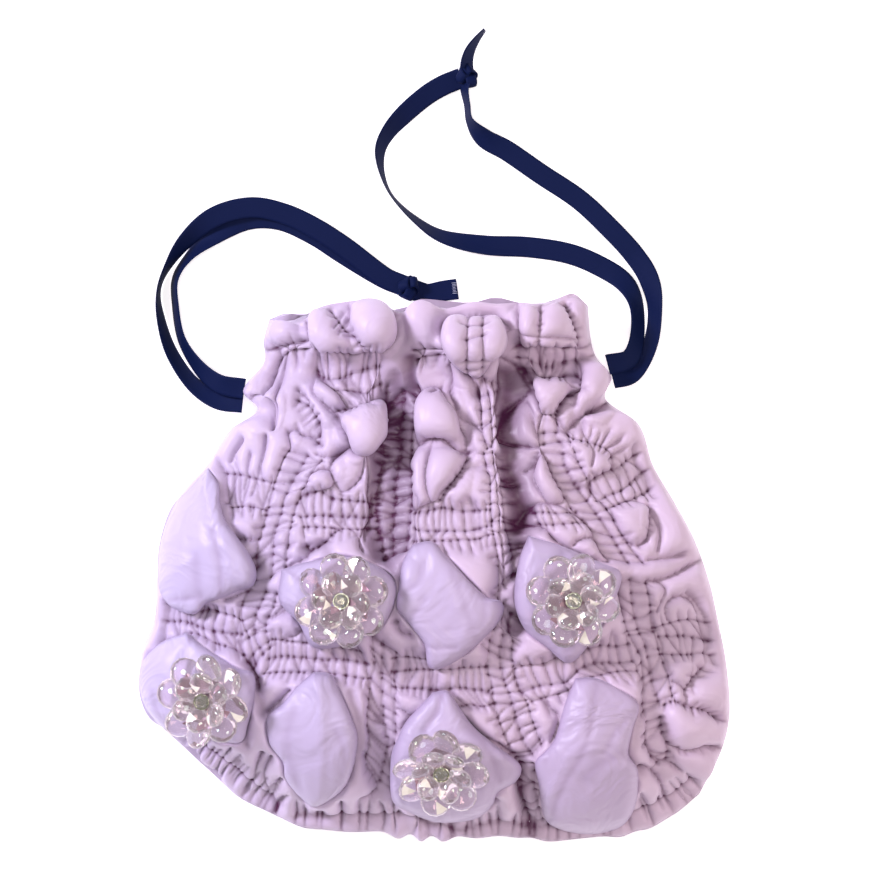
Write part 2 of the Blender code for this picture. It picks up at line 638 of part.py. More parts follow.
def bead_solids():
    """Every bead of a flower as a hidden solid, in the flower's own frame."""
    beads = []
    for name, row in BEAD_ROWS.items():
        for k in range(row.count):
            turn = Matrix.Rotation(math.radians(row.start) + 2 * math.pi * k / row.count, 4, "Z")
            middle = (row.reach - row.size[0] / 2, 0, row.lift * DISC_HEIGHT)
            place = turn @ Matrix.Translation(middle)
            beads.append(solid_from(f"{name}_bead_{k + 1}", lambda bm: cut_stone(bm, row.size, place)))
    return beads


def flower_head_mesh():
    """The beads of a flower fused to their backing, made once for all flowers."""
    bm = bmesh.new()
    turned_step(bm)
    head = new_object("flower_pattern", bm, "cut_crystal")
    for bead in bead_solids():
        join = head.modifiers.new(bead.name, "BOOLEAN")
        join.operation = "UNION"
        join.solver = "EXACT"
        join.object = bead
    bpy.context.view_layer.update()
    shape = head.evaluated_get(bpy.context.evaluated_depsgraph_get())
    mesh = bpy.data.meshes.new_from_object(shape)
    mesh.name = "flower_head"
    bpy.data.objects.remove(head)
    return mesh


def seat_cutter(name, frame):
    """What a flower presses flat: a disc-shaped space above its seat."""
    bm = bmesh.new()
    height = 2 * (PETAL_THICKNESS + HUB_HEIGHT)
    place = frame @ Matrix.Translation((0, 0, height / 2 - CLEARANCE))
    bmesh.ops.create_cone(bm, cap_ends=True, segments=DISC_SIDES, radius1=SEAT_RADIUS,
                          radius2=SEAT_RADIUS, depth=height, matrix=place)
    cutter = new_object(name, bm, "petal_nylon")
    hide_cutter(cutter)
    return cutter


def flowers(petals):
    head_mesh = flower_head_mesh()
    bm = bmesh.new()
    cut_stone(bm, CENTRE_STONE, Matrix.Identity(4))
    stone_mesh = new_object("stone_pattern", bm, "cut_crystal").data
    bpy.data.objects.remove(bpy.data.objects["stone_pattern"])
    for name, flower in FLOWERS.items():
        frame = flower_frame(flower)
        head = bpy.data.objects.new(f"{name}_beads", head_mesh)
        stone = bpy.data.objects.new(f"{name}_stone", stone_mesh)
        for piece in (head, stone):
            bpy.context.scene.collection.objects.link(piece)
        head.matrix_world = frame
        stone.matrix_world = frame @ Matrix.Translation((0, 0, HUB_HEIGHT + CLEARANCE))
        cut(petals[flower.petal], seat_cutter(f"{name}_seat", frame), "seat_of_flower")


def open_curve(stops, step):
    """Evenly spaced stops along the smooth line through the given ones."""
    rows = [Vector((a.x * MM, a.y * MM, a.lift * MM, math.radians(a.roll))) for a in stops]
    rows = [2 * rows[0] - rows[1]] + rows + [2 * rows[-1] - rows[-2]]
    fine = []
    for i in range(1, len(rows) - 2):
        p0, p1, p2, p3 = rows[i - 1:i + 3]
        for k in range(CURVE_STEPS):
            t = k / CURVE_STEPS
            fine.append(0.5 * (2 * p1 + (p2 - p0) * t + (2 * p0 - 5 * p1 + 4 * p2 - p3) * t**2
                               + (3 * p1 - p0 - 3 * p2 + p3) * t**3))
    fine.append(rows[-2])
    lengths = [0.0]
    for a, b in zip(fine, fine[1:]):
        lengths.append(lengths[-1] + (b - a).xyz.length)
    count = max(2, round(lengths[-1] / step))
    even = []
    for k in range(count + 1):
        want = lengths[-1] * k / count
        i = 0
        while i < len(lengths) - 2 and lengths[i + 1] < want:
            i += 1
        share = (want - lengths[i]) / (lengths[i + 1] - lengths[i])
        even.append(fine[i].lerp(fine[i + 1], share))
    return even


def ribbon(name, stops):
    """A flat band lofted along its route; roll turns its width from level to upright."""
    line = open_curve(stops, RIBBON_STEP)
    bm = bmesh.new()
    sections = []
    for i, here in enumerate(line):
        before, after = line[max(i - 1, 0)], line[min(i + 1, len(line) - 1)]
        ahead = (after - before).xyz
        ahead.z = 0
        ahead.normalize()
        level = Vector((-ahead.y, ahead.x, 0))
        up = Vector((0, 0, 1))
        width = level * math.cos(here.w) + up * math.sin(here.w)
        thick = up * math.cos(here.w) - level * math.sin(here.w)
        rest = abs(math.sin(here.w)) * RIBBON_WIDTH / 2 + abs(math.cos(here.w)) * RIBBON_THICKNESS / 2
        centre = Vector((here.x, here.y, here.z + rest + CLEARANCE))
        corners = []
        for a, b in ((-1, -1), (1, -1), (1, 1), (-1, 1)):
            at = centre + width * (a * RIBBON_WIDTH / 2) + thick * (b * RIBBON_THICKNESS / 2)
            corners.append(bm.verts.new(at))
        sections.append(corners)
    for low, high in zip(sections, sections[1:]):
        for k in range(4):
            j = (k + 1) % 4
            bm.faces.new([low[k], low[j], high[j], high[k]])
    bm.faces.new(sections[0][::-1])
    bm.faces.new(sections[-1])
    return new_object(name, bm, "grosgrain")


def knot(name, place):
    """A pulled-tight overhand knot, as its rounded outer form."""
    bm = bmesh.new()
    size = Matrix.Diagonal((KNOT_LENGTH, KNOT_WIDTH, KNOT_HEIGHT, 1))
    bmesh.ops.create_cube(bm, size=1.0, matrix=size)
    bmesh.ops.bevel(bm, geom=bm.edges[:], offset=KNOT_ROUND * KNOT_HEIGHT, segments=2, profile=0.5,
                    affect="EDGES")
    piece = new_object(name, bm, "grosgrain")
    piece.rotation_euler.z = math.radians(place.turn)
    piece.location = (place.x * MM, place.y * MM, KNOT_HEIGHT / 2 + CLEARANCE)
    return piece


def build():
    clear_scene()
    bag_body()
    form = bag_form()
    petals = {name: petal(name, outline, form) for name, outline in PETALS.items()}
    flowers(petals)
    for name, stops in RIBBONS.items():
        ribbon(name, stops)
    for name, place in KNOTS.items():
        knot(name, place)


build()
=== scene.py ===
import math

import bpy
import numpy as np
from mathutils import Matrix, Vector


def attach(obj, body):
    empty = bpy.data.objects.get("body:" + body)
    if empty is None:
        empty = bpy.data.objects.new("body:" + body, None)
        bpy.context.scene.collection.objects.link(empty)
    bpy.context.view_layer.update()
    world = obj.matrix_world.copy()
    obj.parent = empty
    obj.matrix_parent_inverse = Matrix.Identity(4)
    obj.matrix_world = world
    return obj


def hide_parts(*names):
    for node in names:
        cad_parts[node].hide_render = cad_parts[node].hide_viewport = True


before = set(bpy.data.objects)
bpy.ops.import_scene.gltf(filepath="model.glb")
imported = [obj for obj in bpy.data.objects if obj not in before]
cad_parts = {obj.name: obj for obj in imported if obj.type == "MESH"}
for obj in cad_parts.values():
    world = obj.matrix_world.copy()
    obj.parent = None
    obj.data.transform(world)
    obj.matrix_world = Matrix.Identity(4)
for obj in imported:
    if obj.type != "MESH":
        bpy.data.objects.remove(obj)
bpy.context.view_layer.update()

mm = 0.001
# what one pixel of the photo spans, and the pixel where x and y are 0
photo = {"pixel": 0.476 * mm, "middleX": 434.5, "middleY": 569.5}


def fromPhoto(px, py):
    return (px - photo["middleX"]) * photo["pixel"], (photo["middleY"] - py) * photo["pixel"]


def deselectAll():
    if bpy.context.object and bpy.context.object.mode != "OBJECT":
        bpy.ops.object.mode_set(mode="OBJECT")
    bpy.ops.object.select_all(action="DESELECT")


def meshPiece(name, points, faces, material):
    mesh = bpy.data.meshes.new(name)
    mesh.from_pydata([tuple(p) for p in points], [], faces)
    mesh.update()
    mesh.materials.append(material)
    mesh.shade_smooth()
    piece = bpy.data.objects.new(name, mesh)
    bpy.context.scene.collection.objects.link(piece)
    return piece


# camera straight above, with a long lens so that high parts don't spread
camera = {"lens": 400.0, "sensor": 36.0, "planeHeight": 30 * mm, "middlePixel": 443.0,
          "frameWidth": 886.0}


def addCamera():
    x, y = fromPhoto(camera["middlePixel"], camera["middlePixel"])
    width = camera["frameWidth"] * photo["pixel"]
    away = width * camera["lens"] / camera["sensor"]
    bpy.ops.object.camera_add(location=(x, y, camera["planeHeight"] + away), rotation=(0, 0, 0))
    made = bpy.context.object
    made.data.lens = camera["lens"]
    made.data.sensor_width = camera["sensor"]
    made.data.clip_end = 100
    bpy.context.scene.camera = made


# studio: pale floor, a cool light from the upper left, a warm one from the lower right and one overhead;
# each light has its place, size in metres, power in watts and colour
studio = {
    "floorSize": 6.0, "floorDrop": 0.2 * mm, "floorColour": (0.93, 0.93, 0.93), "floorRoughness": 0.9,
    "floorGlow": 0.5,
    "worldColour": (1.0, 0.90, 0.92), "worldStrength": 0.28,
    "lights": {
        "keyLight": ((-2.50, 1.20, 1.95), 0.8, 116.0, (0.84, 0.80, 1.0)),
        "fillLight": ((2.20, -0.60, 1.80), 1.6, 28.0, (1.0, 0.84, 0.81)),
        "topLight": ((0.10, 0.30, 3.20), 1.2, 35.0, (1.0, 0.93, 0.95)),
    },
}


def addStudio():
    bpy.ops.mesh.primitive_plane_add(size=studio["floorSize"], location=(0, 0, -studio["floorDrop"]))
    floor = bpy.context.object
    floor.name = "floor"
    paint = bpy.data.materials.new("floorPaint")
    paint.use_nodes = True
    shader = paint.node_tree.nodes["Principled BSDF"]
    shader.inputs["Base Color"].default_value = (*studio["floorColour"], 1)
    shader.inputs["Roughness"].default_value = studio["floorRoughness"]
    shader.inputs["Emission Color"].default_value = (1, 1, 1, 1)
    shader.inputs["Emission Strength"].default_value = studio["floorGlow"]
    floor.data.materials.append(paint)
    for name, (place, size, power, colour) in studio["lights"].items():
        bpy.ops.object.light_add(type="AREA", location=place)
        lamp = bpy.context.object
        lamp.name = name
        lamp.data.shape = "DISK"
        lamp.data.size = size
        lamp.data.energy = power
        lamp.data.color = colour
        lamp.rotation_mode = "QUATERNION"
        lamp.rotation_quaternion = Vector(place).to_track_quat("Z", "Y")
    world = bpy.data.worlds.new("studioWorld")
    bpy.context.scene.world = world
    world.use_nodes = True
    world.node_tree.nodes["Background"].inputs["Color"].default_value = (*studio["worldColour"], 1)
    world.node_tree.nodes["Background"].inputs["Strength"].default_value = studio["worldStrength"]
    bpy.context.scene.view_settings.view_transform = "Standard"


addCamera()
addStudio()
print("stage: camera, floor and lights")


def plainMaterial(name, colour, roughness):
    made = bpy.data.materials.new(name)
    made.use_nodes = True
    shader = made.node_tree.nodes["Principled BSDF"]
    shader.inputs["Base Color"].default_value = (*colour, 1)
    shader.inputs["Roughness"].default_value = roughness
    return made


# satin nylon: painted light, a cooler lilac on the left and a warmer mauve on the right, painted shade of a
# deeper purple in its creases, a fine weave and soft wrinkles
satin = {
    "paintedLightFrom": -0.13, "paintedLightTo": 0.05, "specular": 0.32, "sheen": 0.25, "sheenRoughness": 0.4,
    "sheenTint": (0.85, 0.80, 1.0, 1), "weaveScale": 260.0, "weaveDetail": 3.0, "weaveStrength": 0.10,
    "weaveDepth": 0.8 * mm, "wrinkleScale": 42.0, "wrinkleDetail": 2.0, "wrinkleTwist": 1.6,
    "wrinkleDepth": 4.0 * mm,
}


# node group that both nylons share: it turns the place and the painted-shade mask into a colour, with the
# painted light from left to right and the painted shade, and a normal
def satinGroup():
    group = bpy.data.node_groups.new("satinSurface", "ShaderNodeTree")
    for name, kind in (("Place", "NodeSocketVector"), ("Painted Shade", "NodeSocketFloat"),
                       ("Cool Lit Colour", "NodeSocketColor"), ("Warm Lit Colour", "NodeSocketColor"),
                       ("Painted Shade Colour", "NodeSocketColor"), ("Wrinkles", "NodeSocketFloat")):
        group.interface.new_socket(name=name, in_out="INPUT", socket_type=kind)
    group.interface.new_socket(name="Colour", in_out="OUTPUT", socket_type="NodeSocketColor")
    group.interface.new_socket(name="Normal", in_out="OUTPUT", socket_type="NodeSocketVector")
    nodes, links = group.nodes, group.links
    given = nodes.new("NodeGroupInput")
    result = nodes.new("NodeGroupOutput")
    parts = nodes.new("ShaderNodeSeparateXYZ")
    across = nodes.new("ShaderNodeMapRange")
    across.inputs["From Min"].default_value = satin["paintedLightFrom"]
    across.inputs["From Max"].default_value = satin["paintedLightTo"]
    # painted light: the colour turns from the cool lit colour on the left to the warm lit colour on the
    # right
    paintedLightMix = nodes.new("ShaderNodeMix")
    paintedLightMix.data_type = "RGBA"
    # painted shade: the crease mask mixes in a deeper purple
    paintedShadeMix = nodes.new("ShaderNodeMix")
    paintedShadeMix.data_type = "RGBA"
    links.new(given.outputs["Place"], parts.inputs["Vector"])
    links.new(parts.outputs["X"], across.inputs["Value"])
    links.new(across.outputs["Result"], paintedLightMix.inputs["Factor"])
    links.new(given.outputs["Cool Lit Colour"], paintedLightMix.inputs["A"])
    links.new(given.outputs["Warm Lit Colour"], paintedLightMix.inputs["B"])
    links.new(given.outputs["Painted Shade"], paintedShadeMix.inputs["Factor"])
    links.new(paintedLightMix.outputs["Result"], paintedShadeMix.inputs["A"])
    links.new(given.outputs["Painted Shade Colour"], paintedShadeMix.inputs["B"])
    links.new(paintedShadeMix.outputs["Result"], result.inputs["Colour"])
    weave = nodes.new("ShaderNodeTexNoise")
    weave.inputs["Scale"].default_value = satin["weaveScale"]
    weave.inputs["Detail"].default_value = satin["weaveDetail"]
    fine = nodes.new("ShaderNodeBump")
    fine.inputs["Strength"].default_value = satin["weaveStrength"]
    fine.inputs["Distance"].default_value = satin["weaveDepth"]
    wrinkle = nodes.new("ShaderNodeTexNoise")
    wrinkle.inputs["Scale"].default_value = satin["wrinkleScale"]
    wrinkle.inputs["Detail"].default_value = satin["wrinkleDetail"]
    wrinkle.inputs["Distortion"].default_value = satin["wrinkleTwist"]
    soft = nodes.new("ShaderNodeBump")
    soft.inputs["Distance"].default_value = satin["wrinkleDepth"]
    links.new(given.outputs["Wrinkles"], soft.inputs["Strength"])
    links.new(given.outputs["Place"], weave.inputs["Vector"])
    links.new(given.outputs["Place"], wrinkle.inputs["Vector"])
    links.new(weave.outputs["Fac"], fine.inputs["Height"])
    links.new(wrinkle.outputs["Fac"], soft.inputs["Height"])
    links.new(soft.outputs["Normal"], fine.inputs["Normal"])
    links.new(fine.outputs["Normal"], result.inputs["Normal"])
    return group


def nylonMaterial(name, coolLitColour, warmLitColour, paintedShadeColour, roughness, wrinkles):
    made = plainMaterial(name, coolLitColour, roughness)
    tree = made.node_tree
    shader = tree.nodes["Principled BSDF"]
    shader.inputs["Specular IOR Level"].default_value = satin["specular"]
    shader.inputs["Sheen Weight"].default_value = satin["sheen"]
    shader.inputs["Sheen Roughness"].default_value = satin["sheenRoughness"]
    shader.inputs["Sheen Tint"].default_value = satin["sheenTint"]
    place = tree.nodes.new("ShaderNodeTexCoord")
    # painted shade: the amount of it written on the mesh
    marks = tree.nodes.new("ShaderNodeAttribute")
    marks.attribute_name = "paintedShade"
    surface = tree.nodes.new("ShaderNodeGroup")
    surface.node_tree = satinSurface
    surface.inputs["Cool Lit Colour"].default_value = (*coolLitColour, 1)
    surface.inputs["Warm Lit Colour"].default_value = (*warmLitColour, 1)
    surface.inputs["Painted Shade Colour"].default_value = (*paintedShadeColour, 1)
    surface.inputs["Wrinkles"].default_value = wrinkles
    tree.links.new(place.outputs["Object"], surface.inputs["Place"])
    tree.links.new(marks.outputs["Fac"], surface.inputs["Painted Shade"])
    tree.links.new(surface.outputs["Colour"], shader.inputs["Base Color"])
    tree.links.new(surface.outputs["Normal"], shader.inputs["Normal"])
    return made


satinSurface = satinGroup()


# ribbons: x and y in mm, lift off the floor in mm, roll in degrees (0 flat, 90 on edge)
ribbon = {
    "width": 10.0 * mm, "thickness": 0.55 * mm, "gap": 0.4 * mm, "cadThickness": 0.8 * mm,
    "ribPitch": 0.92 * mm, "ribDepth": 0.11 * mm, "edgeTooth": 0.10 * mm, "across": 8,
    "ribbon_left_outer": [
        (-91.5, 79.5, 17.3, 5), (-104, 81, 12.0, 25), (-116, 89, 5.0, 45), (-126, 104, 1.0, 55),
        (-131, 120, 0.0, 68), (-132, 133, 0.0, 80), (-128, 144, 0.0, 72), (-119, 157, 1.9, 42),
        (-105, 168.5, 3.6, 8), (-88, 173, 2.8, 0), (-72, 170, 2.0, 0), (-57, 163, 2.0, 0),
        (-43, 154, 2.0, 0), (-30, 144, 2.0, 0), (-23, 139, 2.0, 0), (-16.8, 136.4, 2.0, 0),
        (-14.2, 135.4, 2.2, 0)],
    "ribbon_left_inner": [
        (-90.7, 86, 19.8, -5), (-103, 88.5, 15.2, -25), (-113, 97, 7.0, -50), (-121, 110, 2.0, -66),
        (-124, 126, 0.0, -70), (-124, 139, 0.0, -70), (-117, 150, 0.0, -62), (-105.5, 159.5, 0.0, -28),
        (-90, 167, 0.0, 0), (-74, 167, 0.0, 0), (-58, 160, 0.0, 0), (-44, 151, 0.0, 0),
        (-31, 143, 0.0, 0), (-23, 138.6, 0.0, 0), (-16.8, 136.2, 0.0, 0), (-14.2, 135.2, 0.4, 0)],
    "ribbon_right_outer": [
        (84.9, 91, 17.3, -5), (95, 94, 12.0, -25), (103.3, 108, 3.6, -45), (105.4, 125, 2.2, -46),
        (102.5, 139, 3.4, -15), (95, 151, 2.0, 0), (83, 164, 1.4, 0), (69, 177, 0.0, 0),
        (51, 189, 0.0, 0), (35, 200, 0.0, -5), (24, 206, 0.0, -25), (17, 214, 0.0, -68),
        (15.6, 222, 0.0, -73), (14.4, 228.6, 0.0, -68), (14.8, 232.4, 0.0, -64)],
    "ribbon_right_inner": [
        (82.5, 97.5, 19.8, 5), (93, 100.5, 15.0, 25), (96.8, 111, 7.0, 45), (96.6, 126, 1.2, 46),
        (91, 137, 0.0, 20), (79, 145, 0.0, 0), (64, 151, 0.0, 0), (45, 154, 0.0, 0),
        (24, 155, 0.0, 20), (4, 159, 0.0, 50), (-9, 167, 0.0, 70), (-20, 178, 0.0, 82),
        (-25, 189, 0.0, 76), (-26, 200, 0.0, 60), (-22, 209, 0.0, 45), (-14, 218, 0.0, 25),
        (-4, 226.5, 0.0, 15), (4, 231.4, 0.0, 5), (10.7, 234.2, 0.0, 0), (12.8, 235.0, 0.4, 0)],
    "tail_left": [(-9.6, 133.4, 1.6, 0), (-6.6, 132.4, 0.6, 0), (-3, 131.5, 0.3, 0), (4, 133, 0.0, 0),
                  (11, 134, 0.0, 0)],
    "tail_right": [(15.4, 239.4, 0.6, 50), (15.6, 243.2, 0.0, 55), (17, 248, 0.0, 62),
                   (20, 253, 0.0, 72), (24, 258, 0.0, 82)],
}


# evenly spaced rows along the smooth curve through the stops; every column is carried along
def smoothRoute(stops, step):
    rows = np.array(stops, float)
    rows = np.vstack([2 * rows[0] - rows[1], rows, 2 * rows[-1] - rows[-2]])
    fine = []
    for i in range(1, len(rows) - 2):
        p0, p1, p2, p3 = rows[i - 1:i + 3]
        for t in np.arange(16) / 16:
            fine.append(0.5 * (2 * p1 + (p2 - p0) * t + (2 * p0 - 5 * p1 + 4 * p2 - p3) * t**2
                               + (3 * p1 - p0 - 3 * p2 + p3) * t**3))
    fine.append(rows[-2])
    fine = np.array(fine)
    span = min(3, fine.shape[1])
    run = np.concatenate([[0], np.cumsum(np.linalg.norm(np.diff(fine[:, :span], axis=0), axis=1))])
    even = np.linspace(0, run[-1], max(2, round(run[-1] / step)) + 1)
    return np.array([np.interp(even, run, fine[:, k]) for k in range(fine.shape[1])]).T, run[-1]


def ribbonPiece(name, material):
    rows, length = smoothRoute(ribbon[name], ribbon["ribPitch"] / mm / 2)
    rows[:, :3] *= mm
    ahead = np.gradient(rows[:, :2], axis=0)
    ahead /= np.linalg.norm(ahead, axis=1)[:, None]
    roll = np.radians(rows[:, 3])
    level = np.stack([-ahead[:, 1], ahead[:, 0], np.zeros(len(rows))], 1)
    up = np.array([0, 0, 1.0])
    width = level * np.cos(roll)[:, None] + up * np.sin(roll)[:, None]
    thick = up * np.cos(roll)[:, None] - level * np.sin(roll)[:, None]
    rest = np.abs(np.sin(roll)) * ribbon["width"] / 2 + np.abs(np.cos(roll)) * ribbon["cadThickness"] / 2
    centre = rows[:, :3] + up * (rest + ribbon["gap"])[:, None]
    rib = np.arange(len(rows)) % 2
    halfWidth = ribbon["width"] / 2 - rib * ribbon["edgeTooth"]
    halfThick = ribbon["thickness"] / 2 - rib * ribbon["ribDepth"]
    across = np.linspace(-1, 1, ribbon["across"] + 1)
    ring = [(a, 1) for a in across] + [(a, -1) for a in across[::-1]]
    points = []
    for a, b in ring:
        side = 1 - 0.45 * (abs(a) > 0.99)
        points.append(centre + width * (a * halfWidth)[:, None] + thick * (b * side * halfThick)[:, None])
    points = np.stack(points, 1)
    count = len(ring)
    faces = []
    for i in range(len(rows) - 1):
        for k in range(count):
            j = (k + 1) % count
            faces.append((i * count + k, (i + 1) * count + k, (i + 1) * count + j, i * count + j))
    last = (len(rows) - 1) * count
    faces.append(tuple(range(count)))
    faces.append(tuple(last + k for k in range(count))[::-1])
    piece = meshPiece(name + "_band", points.reshape(-1, 3), faces, material)
    return piece, centre, length * mm


grosgrain = plainMaterial("navyGrosgrain", (0.0020, 0.0075, 0.048), 0.70)
grosgrain.node_tree.nodes["Principled BSDF"].inputs["Specular IOR Level"].default_value = 0.12
# painted light: each nylon gets a cooler lit colour for the left and a warmer one for the right, then the
# deeper purple of its painted shade
nylon = nylonMaterial("paddedNylon", (0.635, 0.54, 0.735), (0.665, 0.53, 0.665),
                      (0.070, 0.010, 0.050), 0.42, 0.35)
petalNylon = nylonMaterial("petalNylon", (0.53, 0.465, 0.655), (0.52, 0.425, 0.585),
                           (0.12, 0.03, 0.12), 0.40, 0.60)

bands = {}
for name in ("ribbon_left_outer", "ribbon_left_inner", "ribbon_right_outer", "ribbon_right_inner",
             "tail_left", "tail_right"):
    bands[name] = ribbonPiece(name, grosgrain)
    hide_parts(name)
    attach(bands[name][0], "root")
print("stage: ribbons")


# pouch: the same named sizes and tables as the solid, so that the padded skin lies where the solid is
pouch = {
    "halfWidth": 140.65 * mm, "halfLength": 131.0 * mm, "bellyHeight": 56.0 * mm, "seamHeight": 19.0 * mm,
    "wall": 7.5 * mm, "sideWall": 11.0 * mm, "rimLift": 6.5 * mm, "rimCurlStart": 0.90, "ruffleStart": 0.82,
    "hemFlutes": 13, "fluteDepth": 1.6 * mm,  # the flutes are uneven here and even in the solid
    "sectionPower": 2.5, "insidePower": 4.0, "seamRise": 0.10,
    "frontEdge": 0.06, "insideEdge": 0.12, "backSideTurn": 0.11, "backHemTurn": 0.09,
    # share along, then x and y of the left seam and of the right seam
    "sides": [
        (0.00, -0.78, -0.71, 0.90, -0.82), (0.07, -0.93, -0.57, 0.97, -0.67),
        (0.14, -0.993, -0.46, 1.00, -0.53), (0.22, -0.993, -0.31, 0.99, -0.35),
        (0.30, -0.95, -0.18, 0.96, -0.18), (0.38, -0.94, -0.02, 0.93, -0.04),
        (0.46, -0.92, 0.13, 0.88, 0.11), (0.54, -0.86, 0.27, 0.81, 0.25), (0.62, -0.77, 0.38, 0.74, 0.38),
        (0.70, -0.69, 0.51, 0.69, 0.53), (0.75, -0.60, 0.58, 0.58, 0.62), (0.79, -0.65, 0.65, 0.60, 0.70),
        (0.84, -0.58, 0.75, 0.55, 0.77), (0.90, -0.58, 0.83, 0.53, 0.84),
        (1.00, -0.56, 0.91, 0.52, 0.96)],
    "crowns": [
        (0.00, 0.20), (0.03, 0.46), (0.08, 0.68), (0.16, 0.87), (0.30, 0.98), (0.45, 1.00), (0.60, 0.94),
        (0.72, 0.84), (0.81, 0.72), (0.88, 0.80), (0.95, 0.76), (1.00, 0.66)],
    "hem": [
        (0.00, 0.00), (0.05, -0.09), (0.11, -0.15), (0.20, -0.21), (0.33, -0.214), (0.46, -0.224),
        (0.60, -0.20), (0.74, -0.20), (0.88, -0.15), (0.95, -0.08), (1.00, 0.00)],
    # share across, then how far the front and the back of the ruffle reach past the straight line
    "scallops": [
        (0.00, 0.00, 0.00), (0.05, -0.01, 0.02), (0.10, -0.02, 0.01), (0.15, 0.03, 0.01),
        (0.24, 0.05, 0.02), (0.34, 0.05, 0.02), (0.41, 0.00, 0.01), (0.47, 0.045, 0.05),
        (0.55, 0.01, 0.04), (0.64, 0.03, 0.03), (0.71, 0.02, 0.045), (0.79, 0.02, 0.02),
        (0.87, 0.01, 0.00), (0.95, 0.045, 0.02), (1.00, 0.00, 0.00)],
}


def tableValue(table, column, at):
    rows = np.array(table, float)
    keys, values = rows[:, 0], rows[:, column]
    slopes = np.empty(len(keys))
    slopes[1:-1] = (values[2:] - values[:-2]) / (keys[2:] - keys[:-2])
    slopes[0] = (values[1] - values[0]) / (keys[1] - keys[0])
    slopes[-1] = (values[-1] - values[-2]) / (keys[-1] - keys[-2])
    at = np.clip(np.asarray(at, float), keys[0], keys[-1])
    i = np.clip(np.searchsorted(keys, at, side="right") - 1, 0, len(keys) - 2)
    span = keys[i + 1] - keys[i]
    t = (at - keys[i]) / span
    return ((2 * t**3 - 3 * t**2 + 1) * values[i] + (t**3 - 2 * t**2 + t) * slopes[i] * span
            + (3 * t**2 - 2 * t**3) * values[i + 1] + (t**3 - t**2) * slopes[i + 1] * span)


def roundOff(s, power):
    return np.maximum(0, 1 - np.abs(2 * s - 1) ** power) ** (1 / power)


# x and y, in metres, at share s across and share v from the hem to the ruffle
def planPoint(s, v, face):
    leftX, leftY, rightX, rightY = (tableValue(pouch["sides"], k, v) for k in (1, 2, 3, 4))
    x = leftX + (rightX - leftX) * s
    y = leftY + (rightY - leftY) * s
    hem = tableValue(pouch["hem"], 1, s) * (1 - v) ** 1.2
    nearHem = np.maximum(0, 1 - v / pouch["frontEdge"]) * 4 * s * (1 - s)
    turns = pouch["hemFlutes"] * s + 0.45 * np.sin(11 * s + 1.0) + 0.2 * np.sin(29 * s)
    flute = pouch["fluteDepth"] * (0.55 + 0.40 * np.sin(17 * s + 0.6)) * np.cos(2 * np.pi * turns) * nearHem
    ruffle = np.maximum(0, (v - pouch["ruffleStart"]) / (1 - pouch["ruffleStart"]))
    top = tableValue(pouch["scallops"], 1 if face == "front" else 2, s) * ruffle
    return x * pouch["halfWidth"], (y + hem + top) * pouch["halfLength"] + flute


def seamHeight(v):
    low = pouch["crowns"][0][1] * pouch["bellyHeight"]
    return low + (pouch["seamHeight"] - low) * np.minimum(1, v / pouch["seamRise"])


def baseHeight(s, v):
    seam = seamHeight(v)
    crown = tableValue(pouch["crowns"], 1, v) * pouch["bellyHeight"]
    return seam + (crown - seam) * roundOff(s, pouch["sectionPower"])


def rimLift(v):
    curl = np.maximum(0, (v - pouch["rimCurlStart"]) / (1 - pouch["rimCurlStart"]))
    return pouch["rimLift"] * curl ** 1.5


def backHeight(s, v):
    across = np.sin(np.pi / 2 * np.minimum(1, np.minimum(s, 1 - s) / pouch["backSideTurn"]))
    along = np.sin(np.pi / 2 * np.minimum(1, v / pouch["backHemTurn"]))
    return seamHeight(v) * (1 - across * along) + rimLift(v) * across


# shares across, closer together near the side seams
def spreadOut(count):
    even = np.arange(count + 1) / count
    return 0.5 * even + 0.25 * (1 - np.cos(np.pi * even))


def gridQuads(rows, columns, first, outwards):
    i, j = np.meshgrid(np.arange(rows), np.arange(columns), indexing="ij")
    a = first + i * (columns + 1) + j
    quads = np.stack([a, a + 1, a + columns + 2, a + columns + 1], -1).reshape(-1, 4)
    return quads if outwards else quads[:, ::-1]


def surfaceNormals(points):
    across = np.gradient(points, axis=1)
    along = np.gradient(points, axis=0)
    normal = np.cross(across, along)
    return normal / np.maximum(np.linalg.norm(normal, axis=2, keepdims=True), 1e-12)


def innerSkin(face, rows, columns, lowest):
    s, v = np.meshgrid(spreadOut(columns), np.arange(rows + 1) / rows)
    width = (tableValue(pouch["sides"], 3, v) - tableValue(pouch["sides"], 1, v)) * pouch["halfWidth"]
    inset = pouch["sideWall"] / width
    hemInset = pouch["sideWall"] / (2 * pouch["halfLength"])
    sWall = inset + (1 - 2 * inset) * s
    vWall = hemInset + (1 - hemInset) * v
    x, y = planPoint(sWall, vWall, face)
    middle = seamHeight(vWall)
    room = roundOff(s, pouch["insidePower"]) * np.minimum(1, v / pouch["insideEdge"])
    if face == "front":
        target = baseHeight(sWall, vWall) + np.minimum(-pouch["wall"], lowest(x, y) - 3.0 * mm)
    else:
        target = pouch["wall"] + rimLift(vWall)
    return np.stack([x, y, middle + (target - middle) * room], -1)


def outerSkin(face, rows, columns):
    s, v = np.meshgrid(spreadOut(columns), np.arange(rows + 1) / rows)
    x, y = planPoint(s, v, face)
    z = baseHeight(s, v) if face == "front" else backHeight(s, v)
    return np.stack([x, y, z], -1)


